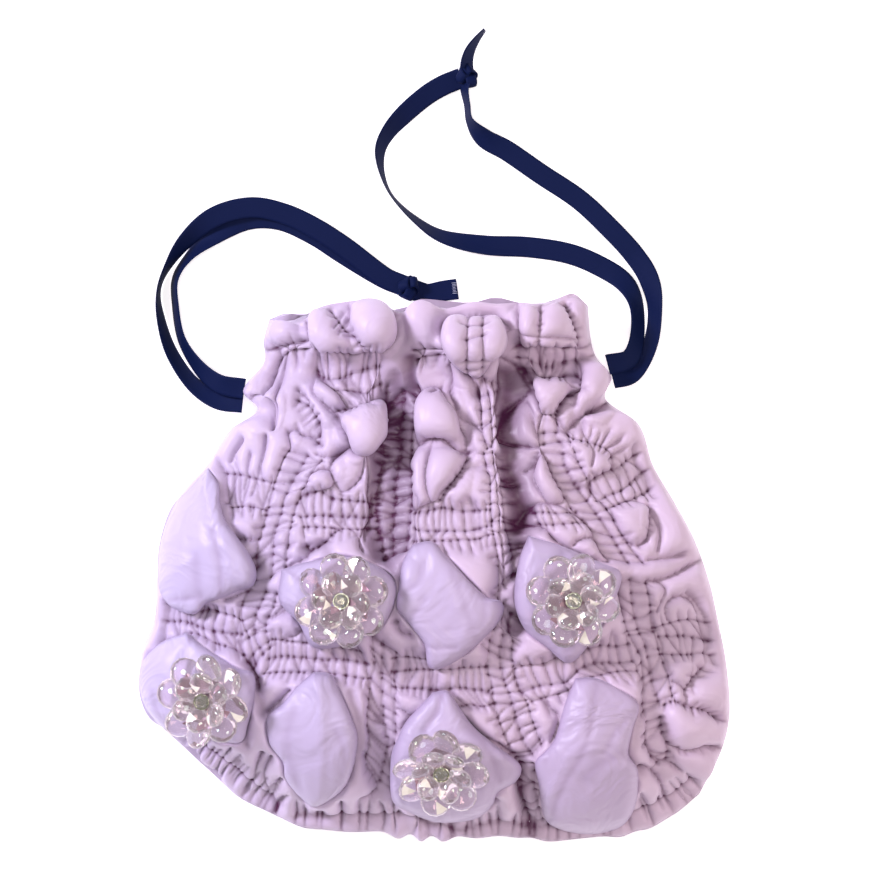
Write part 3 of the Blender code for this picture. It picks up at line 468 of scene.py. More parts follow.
# a padded wall, closed along the side seams, the hem and the rim
def wallPiece(name, face, outer, ratio, material, lowest=None):
    rows, columns = outer.shape[0] - 1, outer.shape[1] - 1
    inner = innerSkin(face, rows // ratio, columns // ratio, lowest)
    first = outer.shape[0] * outer.shape[1]
    front = face == "front"
    faces = gridQuads(rows, columns, 0, front).tolist()
    faces += gridQuads(rows // ratio, columns // ratio, first, not front).tolist()

    def rim(outerLine, innerLine, turned):
        for k in range(len(innerLine) - 1):
            strip = outerLine[k * ratio:(k + 1) * ratio + 1] + [innerLine[k + 1], innerLine[k]]
            faces.append(strip[::-1] if turned else strip)

    def out(i, j):
        return i * (columns + 1) + j

    def into(i, j):
        return first + i * (columns // ratio + 1) + j

    rim([out(0, j) for j in range(columns + 1)], [into(0, j) for j in range(columns // ratio + 1)], front)
    rim([out(rows, j) for j in range(columns + 1)],
        [into(rows // ratio, j) for j in range(columns // ratio + 1)], not front)
    rim([out(i, 0) for i in range(rows + 1)], [into(i, 0) for i in range(rows // ratio + 1)], not front)
    rim([out(i, columns) for i in range(rows + 1)],
        [into(i, columns // ratio) for i in range(rows // ratio + 1)], front)
    points = np.vstack([outer.reshape(-1, 3), inner.reshape(-1, 3)])
    return meshPiece(name, points, faces, material)


# quilting of the front, traced as stitched lines; all places are in photo pixels
quilt = {
    "step": 0.7, "left": 118.0, "top": 283.0, "columns": 904, "rows": 828,
    "wall": 30.0, "reach": 18.0, "fullness": 1.62, "mean": 6.4 * mm, "pitDepth": 0.8 * mm,
    "pitRadius": 1.5,
    "rowGrip": 0.8, "lobeGrip": 0.7, "seamGrip": 0.5, "seed": 11, "lobeEdge": 2, "lobeRound": 14,
    "creaseShade": 0.42, "creaseHeight": 1.2, "lowShade": 0.15, "lowHeight": 12, "sunkShade": 0.42,
    "sunkDepth": 3.0 * mm, "valleyShade": 7.5, "stitchShade": 0.34, "foldShade": 0.22,
    "foldFull": 5.0 * mm,
    "petalPress": 1.6 * mm, "roughness": 0.22 * mm, "foldDepth": 5.0 * mm, "puffRise": 10.5 * mm,
}
# rows of stitching that are smocked together: distance between creases, how far the creases run on, rows
smocking = {
    "collarA": (8, 8, [[(268, 350), (280, 345), (288, 341), (300, 337)],
                       [(274, 362), (285, 360), (296, 358), (305, 355)]]),
    "collarB": (8, 12, [[(312, 357), (325, 360), (345, 360), (365, 359), (386, 358)],
                        [(314, 371), (330, 373), (350, 373), (370, 371), (385, 370)],
                        [(330, 383), (345, 385), (358, 385), (372, 386), (386, 384)]]),
    "collarC": (7, 7, [[(410, 352), (425, 352), (438, 353)], [(413, 364), (428, 363), (441, 362)]]),
    "collarF": (8, 9, [[(517, 352), (535, 354), (550, 353), (565, 353), (581, 352)],
                       [(518, 362), (535, 363), (550, 363), (568, 364), (579, 362)],
                       [(520, 371), (540, 370), (560, 371), (577, 370)]]),
    "lobeD": (14, 6, [[(469, 316), (467, 335), (467, 350), (466, 365), (469, 381)],
                      [(484, 313), (482, 330), (482, 345), (482, 365), (484, 382)]]),
    "leftUpper": (11, 9, [[(290, 447), (283, 457), (276, 478), (269, 495), (268, 508), (262, 530),
                           (258, 545), (253, 586)],
                          [(304, 450), (297, 462), (289, 480), (283, 496), (277, 515), (272, 530),
                           (270, 548), (268, 578)],
                          [(320, 455), (310, 466), (302, 480), (297, 497), (290, 520), (287, 540),
                           (284, 570)]]),
    "leftLower": (10, 9, [[(250, 588), (244, 600), (242, 615), (244, 630), (250, 648), (256, 664)],
                          [(263, 588), (258, 603), (253, 618), (254, 640), (263, 656)],
                          [(276, 592), (271, 608), (263, 620), (263, 637), (268, 650)]]),
    "middleTop": (10, 4, [[(394, 398), (393, 423), (391, 456)],
                          [(401, 388), (400, 405), (399, 430), (398, 456)],
                          [(408, 392), (407, 410), (406, 430), (406, 456)]]),
    "middleUpper": (10, 5, [[(388, 460), (386, 475), (384, 490), (383, 510), (385, 535), (386, 560)],
                            [(397, 456), (395, 480), (394, 505), (392, 530), (392, 555)],
                            [(405, 456), (405, 480), (405, 500), (403, 525), (400, 550)]]),
    "middleLower": (11, 7, [[(374, 630), (375, 655), (373, 680), (371, 700), (369, 722), (371, 745),
                             (366, 765)],
                            [(383, 640), (382, 665), (382, 700), (384, 730), (386, 748), (380, 790)],
                            [(394, 652), (394, 680), (392, 705), (393, 735), (391, 765), (390, 795)]]),
    "rightTop": (11, 5, [[(476, 388), (478, 405), (479, 418), (481, 432), (486, 448)],
                         [(489, 384), (491, 400), (493, 420), (493, 447)],
                         [(500, 383), (503, 400), (506, 425), (508, 442)]]),
    "rightUpper": (11, 9, [[(481, 452), (484, 465), (489, 476), (490, 505), (493, 530), (498, 555),
                            (500, 590)],
                           [(494, 450), (498, 468), (501, 490), (502, 515), (506, 545), (509, 588)],
                           [(503, 455), (509, 475), (511, 500), (514, 530), (518, 555), (518, 580)]]),
    "rightLower": (10, 10, [[(500, 594), (499, 615), (493, 638), (490, 665), (493, 690), (501, 720),
                             (510, 745), (519, 764)],
                            [(509, 600), (506, 622), (501, 640), (500, 665), (507, 692), (516, 722),
                             (524, 745), (531, 760)],
                            [(516, 612), (512, 630), (509, 655), (516, 682), (526, 705), (532, 728),
                             (540, 748)]]),
    "rightHem": (11, 5, [[(523, 768), (522, 785), (524, 808), (529, 833)],
                         [(532, 766), (532, 790), (536, 812), (541, 830)],
                         [(540, 770), (543, 792), (545, 812), (552, 826)]]),
    "sideTop": (10, 7, [[(538, 419), (550, 417), (563, 414)], [(537, 430), (552, 430), (568, 429)],
                        [(541, 441), (555, 440), (568, 438)]]),
    "sideBridge": (8, 12, [[(568, 431), (580, 435), (590, 437), (602, 441), (612, 446), (619, 455)]]),
    "sideUpper": (12, 7, [[(541, 447), (549, 455), (556, 473), (564, 488), (572, 501), (580, 513),
                           (590, 520), (601, 545), (608, 556)],
                          [(560, 450), (564, 466), (571, 478), (580, 488), (590, 501), (599, 514),
                           (610, 530), (630, 562)],
                          [(571, 446), (576, 462), (584, 476), (592, 488), (603, 500), (614, 518),
                           (630, 545), (645, 562)]]),
    "sideLower": (12, 8, [[(619, 578), (623, 598), (627, 620), (633, 640), (643, 655), (647, 675),
                           (646, 700), (648, 718)],
                          [(632, 578), (635, 598), (640, 622), (648, 647), (653, 668), (655, 690),
                           (659, 708)],
                          [(646, 580), (650, 600), (653, 626), (660, 643), (664, 665), (668, 682),
                           (672, 700)]]),
    "sideHem": (11, 6, [[(650, 722), (648, 738), (652, 755), (662, 768)],
                        [(660, 718), (664, 735), (669, 748), (669, 766)]]),
    "upperLeft": (7, 14, [[(219, 470), (236, 473), (254, 478), (270, 482)],
                          [(228, 504), (242, 501), (256, 502), (267, 508)]]),
    "upperMiddle": (7, 12, [[(298, 497), (315, 495), (330, 499), (345, 501), (365, 503), (386, 503)],
                            [(300, 512), (320, 511), (345, 513), (365, 514), (384, 515)],
                            [(303, 525), (320, 525), (345, 526), (365, 526), (384, 528)]]),
    "upperCentre": (7, 13, [[(408, 511), (425, 513), (441, 512), (465, 512), (490, 511)],
                            [(408, 526), (427, 527), (450, 527), (470, 527), (492, 524)],
                            [(408, 540), (430, 540), (452, 539), (475, 538), (495, 536)]]),
    "upperInner": (8, 9, [[(528, 512), (545, 511), (560, 512), (580, 509)],
                          [(532, 523), (548, 524), (562, 523), (588, 520)]]),
    "upperRight": (10, 10, [[(591, 487), (604, 479), (619, 471), (632, 460), (644, 452)],
                            [(597, 499), (611, 491), (625, 486), (639, 477), (651, 468)],
                            [(607, 508), (620, 502), (632, 497), (645, 490), (657, 484)]]),
    "lowerLeft": (7, 9, [[(163, 604), (178, 606), (192, 613), (206, 612), (218, 615), (230, 618),
                          (242, 622)],
                         [(160, 620), (176, 620), (190, 623), (206, 628), (222, 632), (241, 636)],
                         [(158, 640), (172, 638), (186, 631), (198, 634), (212, 641), (228, 645),
                          (247, 655)]]),
    "lowerMiddle": (7, 13, [[(268, 641), (282, 643), (297, 645), (313, 646), (338, 649), (363, 655)],
                            [(266, 658), (282, 657), (300, 658), (320, 660), (345, 661), (370, 665)],
                            [(262, 672), (280, 670), (300, 670), (322, 671), (345, 673), (370, 678)]]),
    "lowerCentre": (7, 10, [[(390, 659), (402, 659), (414, 659), (427, 660)],
                            [(390, 672), (402, 672), (416, 672), (431, 673)],
                            [(390, 687), (402, 686), (416, 687), (431, 689)]]),
    "lowerInner": (8, 9, [[(432, 672), (448, 671), (466, 668), (490, 668)],
                          [(433, 690), (448, 690), (466, 690), (490, 691)],
                          [(456, 706), (470, 703), (484, 706), (498, 703)]]),
    "lowerRight": (10, 15, [[(514, 672), (526, 668), (542, 667), (557, 661), (573, 659), (587, 652),
                             (602, 648), (617, 648), (632, 645)],
                            [(522, 691), (536, 685), (550, 683), (566, 680), (580, 668), (598, 662),
                             (616, 661), (634, 659)],
                            [(532, 702), (546, 698), (561, 693), (573, 688), (590, 677), (606, 672),
                             (622, 670), (641, 671)]]),
    "lowerEdge": (10, 11, [[(656, 628), (672, 625), (685, 621), (700, 620), (713, 622)],
                           [(661, 638), (675, 637), (690, 636), (706, 637), (717, 640)],
                           [(665, 652), (678, 652), (692, 652), (708, 651), (718, 654)]]),
    "ruffledLeft": (7, 17, [[(166, 731), (186, 742), (204, 757), (220, 768), (240, 785), (258, 800),
                             (276, 815)]]),
    "hem": (11, 17, [[(292, 822), (318, 824), (345, 823), (372, 824), (405, 823), (432, 832),
                      (470, 834), (500, 830), (530, 834), (565, 834), (600, 829), (630, 822),
                      (655, 813), (680, 801), (700, 783)]]),
}
# seams and folds with nothing smocked beside them; the number is the share of puckers along them
seams = [
    (0.9, [(330, 308), (340, 320), (348, 331), (357, 344), (367, 355)]),
    (0.3, [(541, 304), (540, 322), (538, 353)]),
    (0.7, [(565, 303), (573, 320), (580, 335), (583, 350)]),
    (0.0, [(349, 303), (350, 318), (346, 330)]),
    (0.0, [(518, 337), (540, 338), (560, 338), (578, 340)]),
    (0.2, [(244, 405), (254, 396), (261, 386), (270, 376), (272, 362)]),
    (0.0, [(262, 400), (268, 412), (272, 428)]),
    (0.0, [(282, 364), (278, 385), (274, 405), (273, 428)]),
    (0.7, [(294, 398), (304, 410), (311, 420), (318, 430), (313, 436), (321, 442)]),
    (0.3, [(312, 370), (330, 382), (341, 392), (347, 405), (342, 411)]),
    (0.3, [(296, 385), (300, 396), (304, 403)]),
    (0.3, [(320, 400), (334, 413), (337, 425), (343, 436), (345, 448), (338, 451), (331, 466),
           (335, 480), (341, 494), (341, 530)]),
    (0.8, [(337, 410), (348, 404), (362, 400), (378, 396)]),
    (0.2, [(391, 384), (391, 410), (390, 438)]),
    (0.2, [(345, 448), (351, 455), (360, 458), (376, 458), (385, 449), (391, 438), (397, 428)]),
    (0.4, [(285, 428), (296, 424), (302, 432), (313, 433)]),
    (0.2, [(312, 448), (326, 452), (338, 450)]),
    (0.3, [(302, 474), (312, 468), (322, 466), (331, 467)]),
    (0.3, [(300, 496), (311, 494), (324, 493), (335, 486)]),
    (0.3, [(341, 492), (352, 485), (360, 476), (366, 462)]),
    (0.2, [(374, 460), (374, 480), (373, 494), (376, 503), (371, 520), (361, 540), (366, 552)]),
    (0.5, [(340, 527), (331, 534), (324, 542), (310, 549), (305, 543)]),
    (0.3, [(310, 550), (306, 557), (294, 563), (284, 568)]),
    (0.3, [(351, 526), (358, 536), (361, 548)]), (0.3, [(294, 568), (301, 578), (310, 582)]),
    (0.3, [(413, 441), (425, 440), (440, 440), (451, 443), (460, 448), (468, 449)]),
    (0.2, [(441, 381), (448, 397), (459, 410), (463, 428), (466, 449)]),
    (0.2, [(412, 384), (410, 405), (410, 425), (412, 442)]),
    (0.0, [(431, 392), (437, 386), (433, 383)]),
    (0.5, [(468, 449), (467, 462), (456, 478), (446, 491), (438, 505)]),
    (0.0, [(432, 442), (428, 456), (425, 472), (426, 488), (430, 505)]),
    (0.2, [(443, 372), (452, 386), (460, 399), (464, 412), (472, 424), (480, 430)]),
    (0.0, [(451, 366), (462, 378), (474, 390), (479, 405)]),
    (0.2, [(507, 357), (515, 367), (521, 381), (519, 396), (513, 408)]),
    (0.2, [(521, 384), (530, 399), (537, 418), (540, 441)]),
    (0.0, [(521, 400), (529, 416), (535, 436)]),
    (0.2, [(509, 440), (520, 442), (530, 446), (539, 443)]),
    (0.7, [(580, 371), (578, 388), (569, 401), (562, 413), (557, 428)]),
    (0.5, [(521, 372), (526, 386), (532, 400), (538, 419)]),
    (0.3, [(557, 429), (566, 428), (578, 417), (590, 409), (608, 403)]),
    (0.0, [(580, 420), (590, 435), (596, 450), (594, 466)]),
    (0.4, [(590, 487), (600, 480), (611, 474), (620, 468), (618, 452)]),
    (0.3, [(533, 450), (531, 462), (524, 471)]), (0.3, [(545, 447), (552, 462), (557, 476)]),
    (0.1,
     [(520, 522), (535, 526), (546, 530), (554, 538), (566, 546), (580, 553), (592, 559), (612, 560)]),
    (0.3, [(573, 545), (581, 538), (596, 535)]),
    (0.4, [(654, 500), (653, 518), (649, 532), (645, 541), (634, 544), (622, 534)]),
    (0.1, [(650, 558), (672, 557), (688, 552)]),
    (0.2, [(648, 579), (664, 578), (682, 571), (704, 558)]),
    (0.2, [(646, 580), (660, 580), (669, 588), (664, 601), (658, 612)]),
    (0.3, [(671, 621), (669, 606), (680, 595), (696, 598), (704, 612)]),
    (0.8, [(689, 690), (699, 676), (710, 666)]),
    (0.4, [(671, 680), (683, 684), (689, 694), (691, 708)]),
    (0.5, [(662, 707), (676, 702), (690, 708), (710, 711), (726, 722)]),
    (0.4, [(668, 747), (680, 752), (690, 754), (705, 751), (722, 749)]),
    (0.3, [(652, 754), (661, 763), (671, 767), (684, 775)]),
    (0.3, [(639, 768), (650, 772), (659, 779), (664, 790), (671, 803)]),
    (0.3, [(262, 618), (274, 616), (286, 610), (297, 615), (304, 627), (314, 638)]),
    (0.4, [(264, 641), (280, 642), (295, 636), (303, 628)]),
    (0.2, [(274, 614), (284, 604), (285, 596)]), (0.2, [(286, 610), (285, 600), (300, 602)]),
    (0.2, [(394, 709), (404, 712), (411, 716), (428, 712)]),
    (0.2, [(430, 690), (431, 701), (427, 712)]),
    (0.2, [(448, 690), (456, 704), (463, 719), (478, 735), (496, 745), (514, 757)]),
    (0.3, [(411, 716), (404, 727), (397, 734)]),
    (0.4, [(366, 768), (374, 782), (378, 793), (372, 800), (360, 803)]),
    (0.2, [(521, 766), (518, 781), (521, 802), (527, 822), (530, 838)]),
    (0.2, [(541, 697), (550, 708), (559, 717), (556, 733), (551, 744)]),
    (0.3, [(236, 640), (244, 655), (252, 668), (258, 690)]),
    (0.3, [(395, 620), (399, 631), (412, 634)]), (0.2, [(290, 690), (276, 704), (268, 712)]),
    (0.2, [(262, 752), (254, 772), (248, 792)]), (0.3, [(282, 780), (272, 795), (268, 808)]),
    (0.3, [(298, 790), (306, 805)]), (0.2, [(498, 745), (520, 758)]),
    (0.2, [(426, 816), (428, 830), (429, 842)]), (0.2, [(497, 800), (488, 812), (474, 822)]),
    (0.2, [(222, 600), (240, 594), (252, 588)]),
    (0.0, [(264, 434), (262, 450), (256, 470), (250, 492)]),
    (0.0, [(248, 450), (244, 468), (241, 486)]), (0.0, [(241, 437), (231, 448), (225, 459)]),
    (0.0, [(286, 430), (291, 446)]), (0.0, [(232, 470), (229, 490), (224, 500)]),
    (0.3, [(222, 540), (238, 537), (256, 540)]), (0.0, [(655, 505), (664, 530), (660, 552)]),
    (0.0, [(690, 590), (704, 600), (712, 618)]), (0.0, [(272, 756), (262, 780), (264, 800)]),
    (0.0, [(600, 812), (622, 818), (634, 804)]), (0.0, [(470, 826), (474, 842)]),
]
# parts that lie over their neighbours: height in mm, outline
lobes = [
    (5.0, [(439, 340), (441, 325), (450, 315), (470, 312), (495, 311), (504, 322), (508, 340),
           (504, 355), (494, 364), (489, 373), (484, 381), (475, 384), (467, 380), (457, 374),
           (449, 363), (441, 352)]),
    (3.0, [(305, 306), (345, 300), (380, 296), (398, 318), (399, 340), (389, 357), (365, 360),
           (340, 360), (314, 357), (306, 345)]),
    (2.5, [(262, 345), (262, 322), (283, 312), (303, 316), (302, 338), (288, 343), (270, 352)]),
    (3.0, [(337, 412), (350, 403), (365, 399), (380, 396), (391, 400), (391, 438), (384, 450),
           (374, 458), (359, 458), (350, 453), (344, 438), (338, 425)]),
    (2.5, [(411, 402), (418, 388), (431, 381), (441, 383), (449, 399), (459, 411), (464, 430),
           (465, 448), (450, 443), (438, 440), (425, 440), (412, 441)]),
    (2.0, [(414, 444), (440, 441), (455, 446), (466, 452), (466, 463), (455, 478), (441, 492),
           (434, 504), (410, 508), (406, 488), (405, 462)]),
    (2.0,
     [(444, 371), (452, 371), (469, 384), (477, 398), (479, 418), (470, 421), (463, 409), (455, 392)]),
    (3.0,
     [(517, 300), (567, 292), (592, 300), (597, 330), (583, 352), (562, 353), (540, 353), (518, 351)]),
    (1.5, [(524, 373), (578, 372), (575, 389), (565, 403), (556, 414), (540, 417), (531, 398)]),
    (3.0, [(582, 361), (600, 354), (615, 366), (612, 385), (608, 401), (590, 408), (577, 417),
           (565, 428), (557, 427), (566, 408), (577, 388)]),
    (2.2, [(522, 524), (546, 530), (562, 544), (578, 552), (592, 558), (611, 559), (600, 545),
           (590, 522), (560, 504), (530, 504)]),
    (2.0, [(508, 359), (516, 369), (521, 385), (517, 402), (512, 420), (510, 438), (506, 420)]),
    (2.0,
     [(521, 388), (530, 402), (537, 422), (539, 440), (530, 446), (515, 442), (512, 425), (514, 410)]),
    (2.0,
     [(311, 372), (330, 383), (341, 393), (346, 405), (338, 410), (330, 412), (318, 400), (309, 388)]),
    (1.5, [(302, 478), (312, 469), (329, 468), (335, 479), (333, 487), (322, 493), (303, 496)]),
    (1.5, [(534, 456), (546, 452), (556, 476), (566, 492), (562, 501), (545, 499), (530, 478)]),
    (1.5, [(612, 506), (630, 498), (652, 503), (652, 520), (646, 541), (632, 543), (620, 530)]),
]
# deep places between the puffs, also darkened with painted shade: depth in mm, half width, route
valleys = [
    (4.0, 7, [(408, 362), (408, 386)]), (2.5, 8, [(397, 378), (396, 410), (397, 440)]),
    (3.5, 10, [(386, 450), (379, 480), (374, 520), (378, 556)]),
    (1.5, 12, [(397, 450), (396, 500), (396, 560)]),
    (4.5, 7, [(512, 376), (512, 400), (512, 440), (515, 470), (522, 505), (521, 530)]),
    (3.0, 8, [(521, 530), (527, 560), (528, 590), (522, 625)]),
    (2.5, 7, [(386, 558), (398, 578), (396, 612)]), (3.0, 6, [(250, 662), (257, 690), (264, 712)]),
    (3.0, 6, [(249, 716), (247, 742)]), (2.5, 6, [(352, 692), (360, 740), (350, 775)]),
    (2.0, 6, [(306, 548), (322, 544), (334, 556)]), (2.0, 5, [(344, 432), (345, 448), (336, 452)]),
    (1.8, 5, [(380, 458), (388, 446), (396, 434)]),
    (2.2, 6, [(640, 705), (634, 738), (630, 754), (640, 772)]),
    (2.0, 5, [(520, 762), (519, 785), (524, 815), (529, 836)]),
    (1.8, 5, [(466, 722), (486, 742), (514, 760)]), (2.2, 6, [(300, 614), (314, 636)]),
    (1.6, 6, [(206, 600), (202, 614)]), (1.5, 4, [(590, 409), (608, 405)]),
    (1.6, 6, [(612, 575), (622, 590), (624, 610)]),
    (2.0, 5, [(219, 490), (224, 515), (240, 540), (256, 566)]),
    (1.6, 4, [(440, 352), (450, 368), (466, 382), (484, 385)]),
]
# the outline of each petal
petalOutlines = {
    "petal_1": [(208, 468), (190, 488), (172, 506), (161, 535), (157, 565), (160, 592), (172, 607),
                (194, 614), (207, 603), (221, 598), (240, 590), (254, 585), (257, 570), (249, 552),
                (236, 534), (225, 518), (220, 500), (219, 485)],
    "petal_2": [(282, 569), (309, 561), (350, 556), (385, 570), (397, 590), (386, 621), (366, 636),
                (338, 646), (313, 646), (299, 622), (280, 600)],
    "petal_3": [(413, 544), (431, 541), (447, 556), (461, 571), (472, 583), (487, 596), (501, 601),
                (503, 612), (494, 627), (466, 653), (440, 668), (428, 664), (424, 643), (410, 624),
                (397, 607), (399, 586), (403, 561)],
    "petal_4": [(528, 535), (560, 545), (600, 562), (620, 572), (616, 595), (596, 632), (570, 662),
                (545, 645), (524, 628), (514, 600), (518, 562)],
    "petal_5": [(187, 632), (206, 647), (235, 666), (253, 672), (256, 690), (249, 722), (240, 742),
                (205, 736), (179, 731), (160, 727), (147, 716), (139, 694), (141, 665), (160, 643)],
    "petal_6": [(314, 671), (331, 673), (339, 687), (353, 719), (358, 739), (353, 768), (342, 790),
                (316, 807), (302, 799), (286, 779), (283, 761), (270, 742), (268, 716), (284, 701),
                (298, 685)],
    "petal_7": [(433, 691), (448, 690), (459, 706), (474, 726), (495, 744), (520, 764), (516, 781),
                (498, 792), (492, 806), (474, 820), (437, 823), (409, 812), (392, 799), (391, 757),
                (398, 737), (405, 722), (419, 706)],
    "petal_8": [(575, 677), (595, 677), (618, 688), (638, 704), (632, 729), (628, 753), (637, 768),
                (638, 787), (635, 808), (624, 826), (606, 834), (587, 836), (562, 831), (545, 819),
                (539, 787), (535, 762), (545, 750), (555, 736), (564, 704)],
}
# slow folds and puffs of the solid, in shares of the half width and half length: depth, half width, route
folds = [
    (0.29, 0.07, [(-0.41, 0.50), (-0.54, 0.25), (-0.61, -0.07), (-0.62, -0.22), (-0.58, -0.31)]),
    (1.00, 0.10, [(-0.12, 0.84), (-0.13, 0.54), (-0.14, 0.25), (-0.16, 0.00)]),
    (0.36, 0.07, [(-0.17, -0.11), (-0.18, -0.45), (-0.17, -0.87)]),
    (0.86, 0.08, [(0.27, 0.80), (0.29, 0.43), (0.30, 0.22), (0.31, 0.00), (0.29, -0.18)]),
    (0.36, 0.07, [(0.22, -0.26), (0.22, -0.44), (0.30, -0.62), (0.32, -0.95)]),
    (0.29, 0.07, [(0.38, 0.50), (0.51, 0.26), (0.65, 0.03), (0.73, -0.24), (0.79, -0.73)]),
    (0.32, 0.07, [(-0.78, 0.34), (-0.57, 0.27), (-0.32, 0.22), (-0.15, 0.20)]),
    (0.25, 0.07, [(-0.10, 0.19), (0.22, 0.19)]),
    (0.25, 0.07, [(0.53, 0.29), (0.70, 0.34), (0.80, 0.29)]),
    (0.32, 0.08, [(-0.95, -0.15), (-0.77, -0.18), (-0.58, -0.31), (-0.19, -0.35), (0.07, -0.45),
                  (0.32, -0.40), (0.62, -0.30), (0.94, -0.23)]),
    (0.43, 0.07,
     [(-0.62, 0.70), (-0.35, 0.73), (-0.10, 0.72), (0.10, 0.70), (0.35, 0.77), (0.58, 0.70)]),
]
puffs = [
    (0.28, -0.51, 0.84, 0.08, 0.09), (0.56, -0.37, 0.85, 0.10, 0.11), (0.67, -0.20, 0.86, 0.10, 0.12),
    (1.00, 0.13, 0.79, 0.14, 0.14), (0.67, 0.36, 0.88, 0.13, 0.11), (0.44, 0.50, 0.89, 0.07, 0.12),
    (0.44, -0.36, 0.62, 0.10, 0.11), (0.61, -0.24, 0.52, 0.11, 0.15), (0.44, 0.01, 0.57, 0.10, 0.13),
    (0.44, 0.39, 0.64, 0.10, 0.11), (0.50, 0.54, 0.64, 0.08, 0.13), (0.33, -0.58, 0.60, 0.08, 0.12),
    (0.33, 0.19, 0.52, 0.08, 0.16), (0.33, 0.20, 0.26, 0.08, 0.16), (0.28, 0.02, 0.33, 0.12, 0.13),
    (0.28, 0.53, 0.42, 0.11, 0.12), (0.28, 0.80, 0.19, 0.11, 0.14), (0.28, 0.86, -0.47, 0.12, 0.15),
    (0.22, -0.39, 0.36, 0.09, 0.10),
]


# how far along a straight line, as a share, its nearest place to a point lies
def shareAlong(x, y, ax, ay, bx, by):
    ahead = (x - ax) * (bx - ax) + (y - ay) * (by - ay)
    return np.clip(ahead / ((bx - ax) ** 2 + (by - ay) ** 2), 0, 1)


# height that the solid's slow folds take away and its puffs add
def slowRelief(x, y):
    sx, sy = x / pouch["halfWidth"], y / pouch["halfLength"]
    down = np.zeros(x.shape)
    for depth, halfWidth, route in folds:
        near = np.full(x.shape, 9.0)
        for (ax, ay), (bx, by) in zip(route, route[1:]):
            t = shareAlong(sx, sy, ax, ay, bx, by)
            near = np.minimum(near, np.hypot(sx - ax - t * (bx - ax), sy - ay - t * (by - ay)))
        near = np.minimum(1, near / halfWidth)
        down = np.maximum(down, depth * (0.5 + 0.5 * np.cos(np.pi * near)))
    up = np.zeros(x.shape)
    for height, midX, midY, halfX, halfY in puffs:
        reach = np.hypot((sx - midX) / halfX, (sy - midY) / halfY)
        up = np.maximum(up, height * np.maximum(0, 1 - reach**2) ** 0.8)
    return up * quilt["puffRise"] - down * quilt["foldDepth"]


def blurred(field, times):
    for k in range(times):
        field = np.pad(field, 1, mode="edge")
        field = (field[:-2] + 2 * field[1:-1] + field[2:]) / 4
        field = (field[:, :-2] + 2 * field[:, 1:-1] + field[:, 2:]) / 4
    return field


def resized(field, rows, columns):
    i = np.linspace(0, field.shape[0] - 1, rows)
    j = np.linspace(0, field.shape[1] - 1, columns)
    i0, j0 = np.minimum(i.astype(int), field.shape[0] - 2), np.minimum(j.astype(int), field.shape[1] - 2)
    fi, fj = (i - i0)[:, None], (j - j0)[None]
    a, b = field[i0][:, j0], field[i0][:, j0 + 1]
    c, d = field[i0 + 1][:, j0], field[i0 + 1][:, j0 + 1]
    return (a * (1 - fj) + b * fj) * (1 - fi) + (c * (1 - fj) + d * fj) * fi


def smoothNoise(rows, columns, cell, seed):
    dice = np.random.default_rng(seed)
    coarse = dice.standard_normal((int(rows / cell) + 3, int(columns / cell) + 3))
    return resized(blurred(coarse, 1), rows, columns)


def insideOutline(outline, x, y):
    line = smoothRoute(list(outline) + [outline[0]], 3.0)[0]
    within = np.zeros(x.shape, bool)
    for (ax, ay), (bx, by) in zip(line, np.roll(line, -1, axis=0)):
        if ay != by:
            within ^= ((ay > y) != (by > y)) & (x < (bx - ax) * (y - ay) / (by - ay) + ax)
    return within


# marks a line on a raster; the strength is one number or one for each point
def markLine(field, line, strength, sheet):
    i = np.rint((line[:, 1] - sheet["top"]) / sheet["step"]).astype(int)
    j = np.rint((line[:, 0] - sheet["left"]) / sheet["step"]).astype(int)
    there = (i >= 0) & (i < field.shape[0]) & (j >= 0) & (j < field.shape[1])
    np.maximum.at(field, (i[there], j[there]), np.broadcast_to(strength, len(line))[there])


def crease(field, start, end, fades, strength, sheet, dice):
    start, end = np.array(start, float), np.array(end, float)
    t = np.linspace(0, 1, max(3, int(np.hypot(*(end - start)) / (0.5 * sheet["step"]))))
    side = np.array([start[1] - end[1], end[0] - start[0]]) * 0.12 * dice.standard_normal()
    line = start + (end - start) * t[:, None] + side * (t * (1 - t) * 2)[:, None]
    markLine(field, line, strength * ((1 - t) ** 1.5 if fades else 1), sheet)


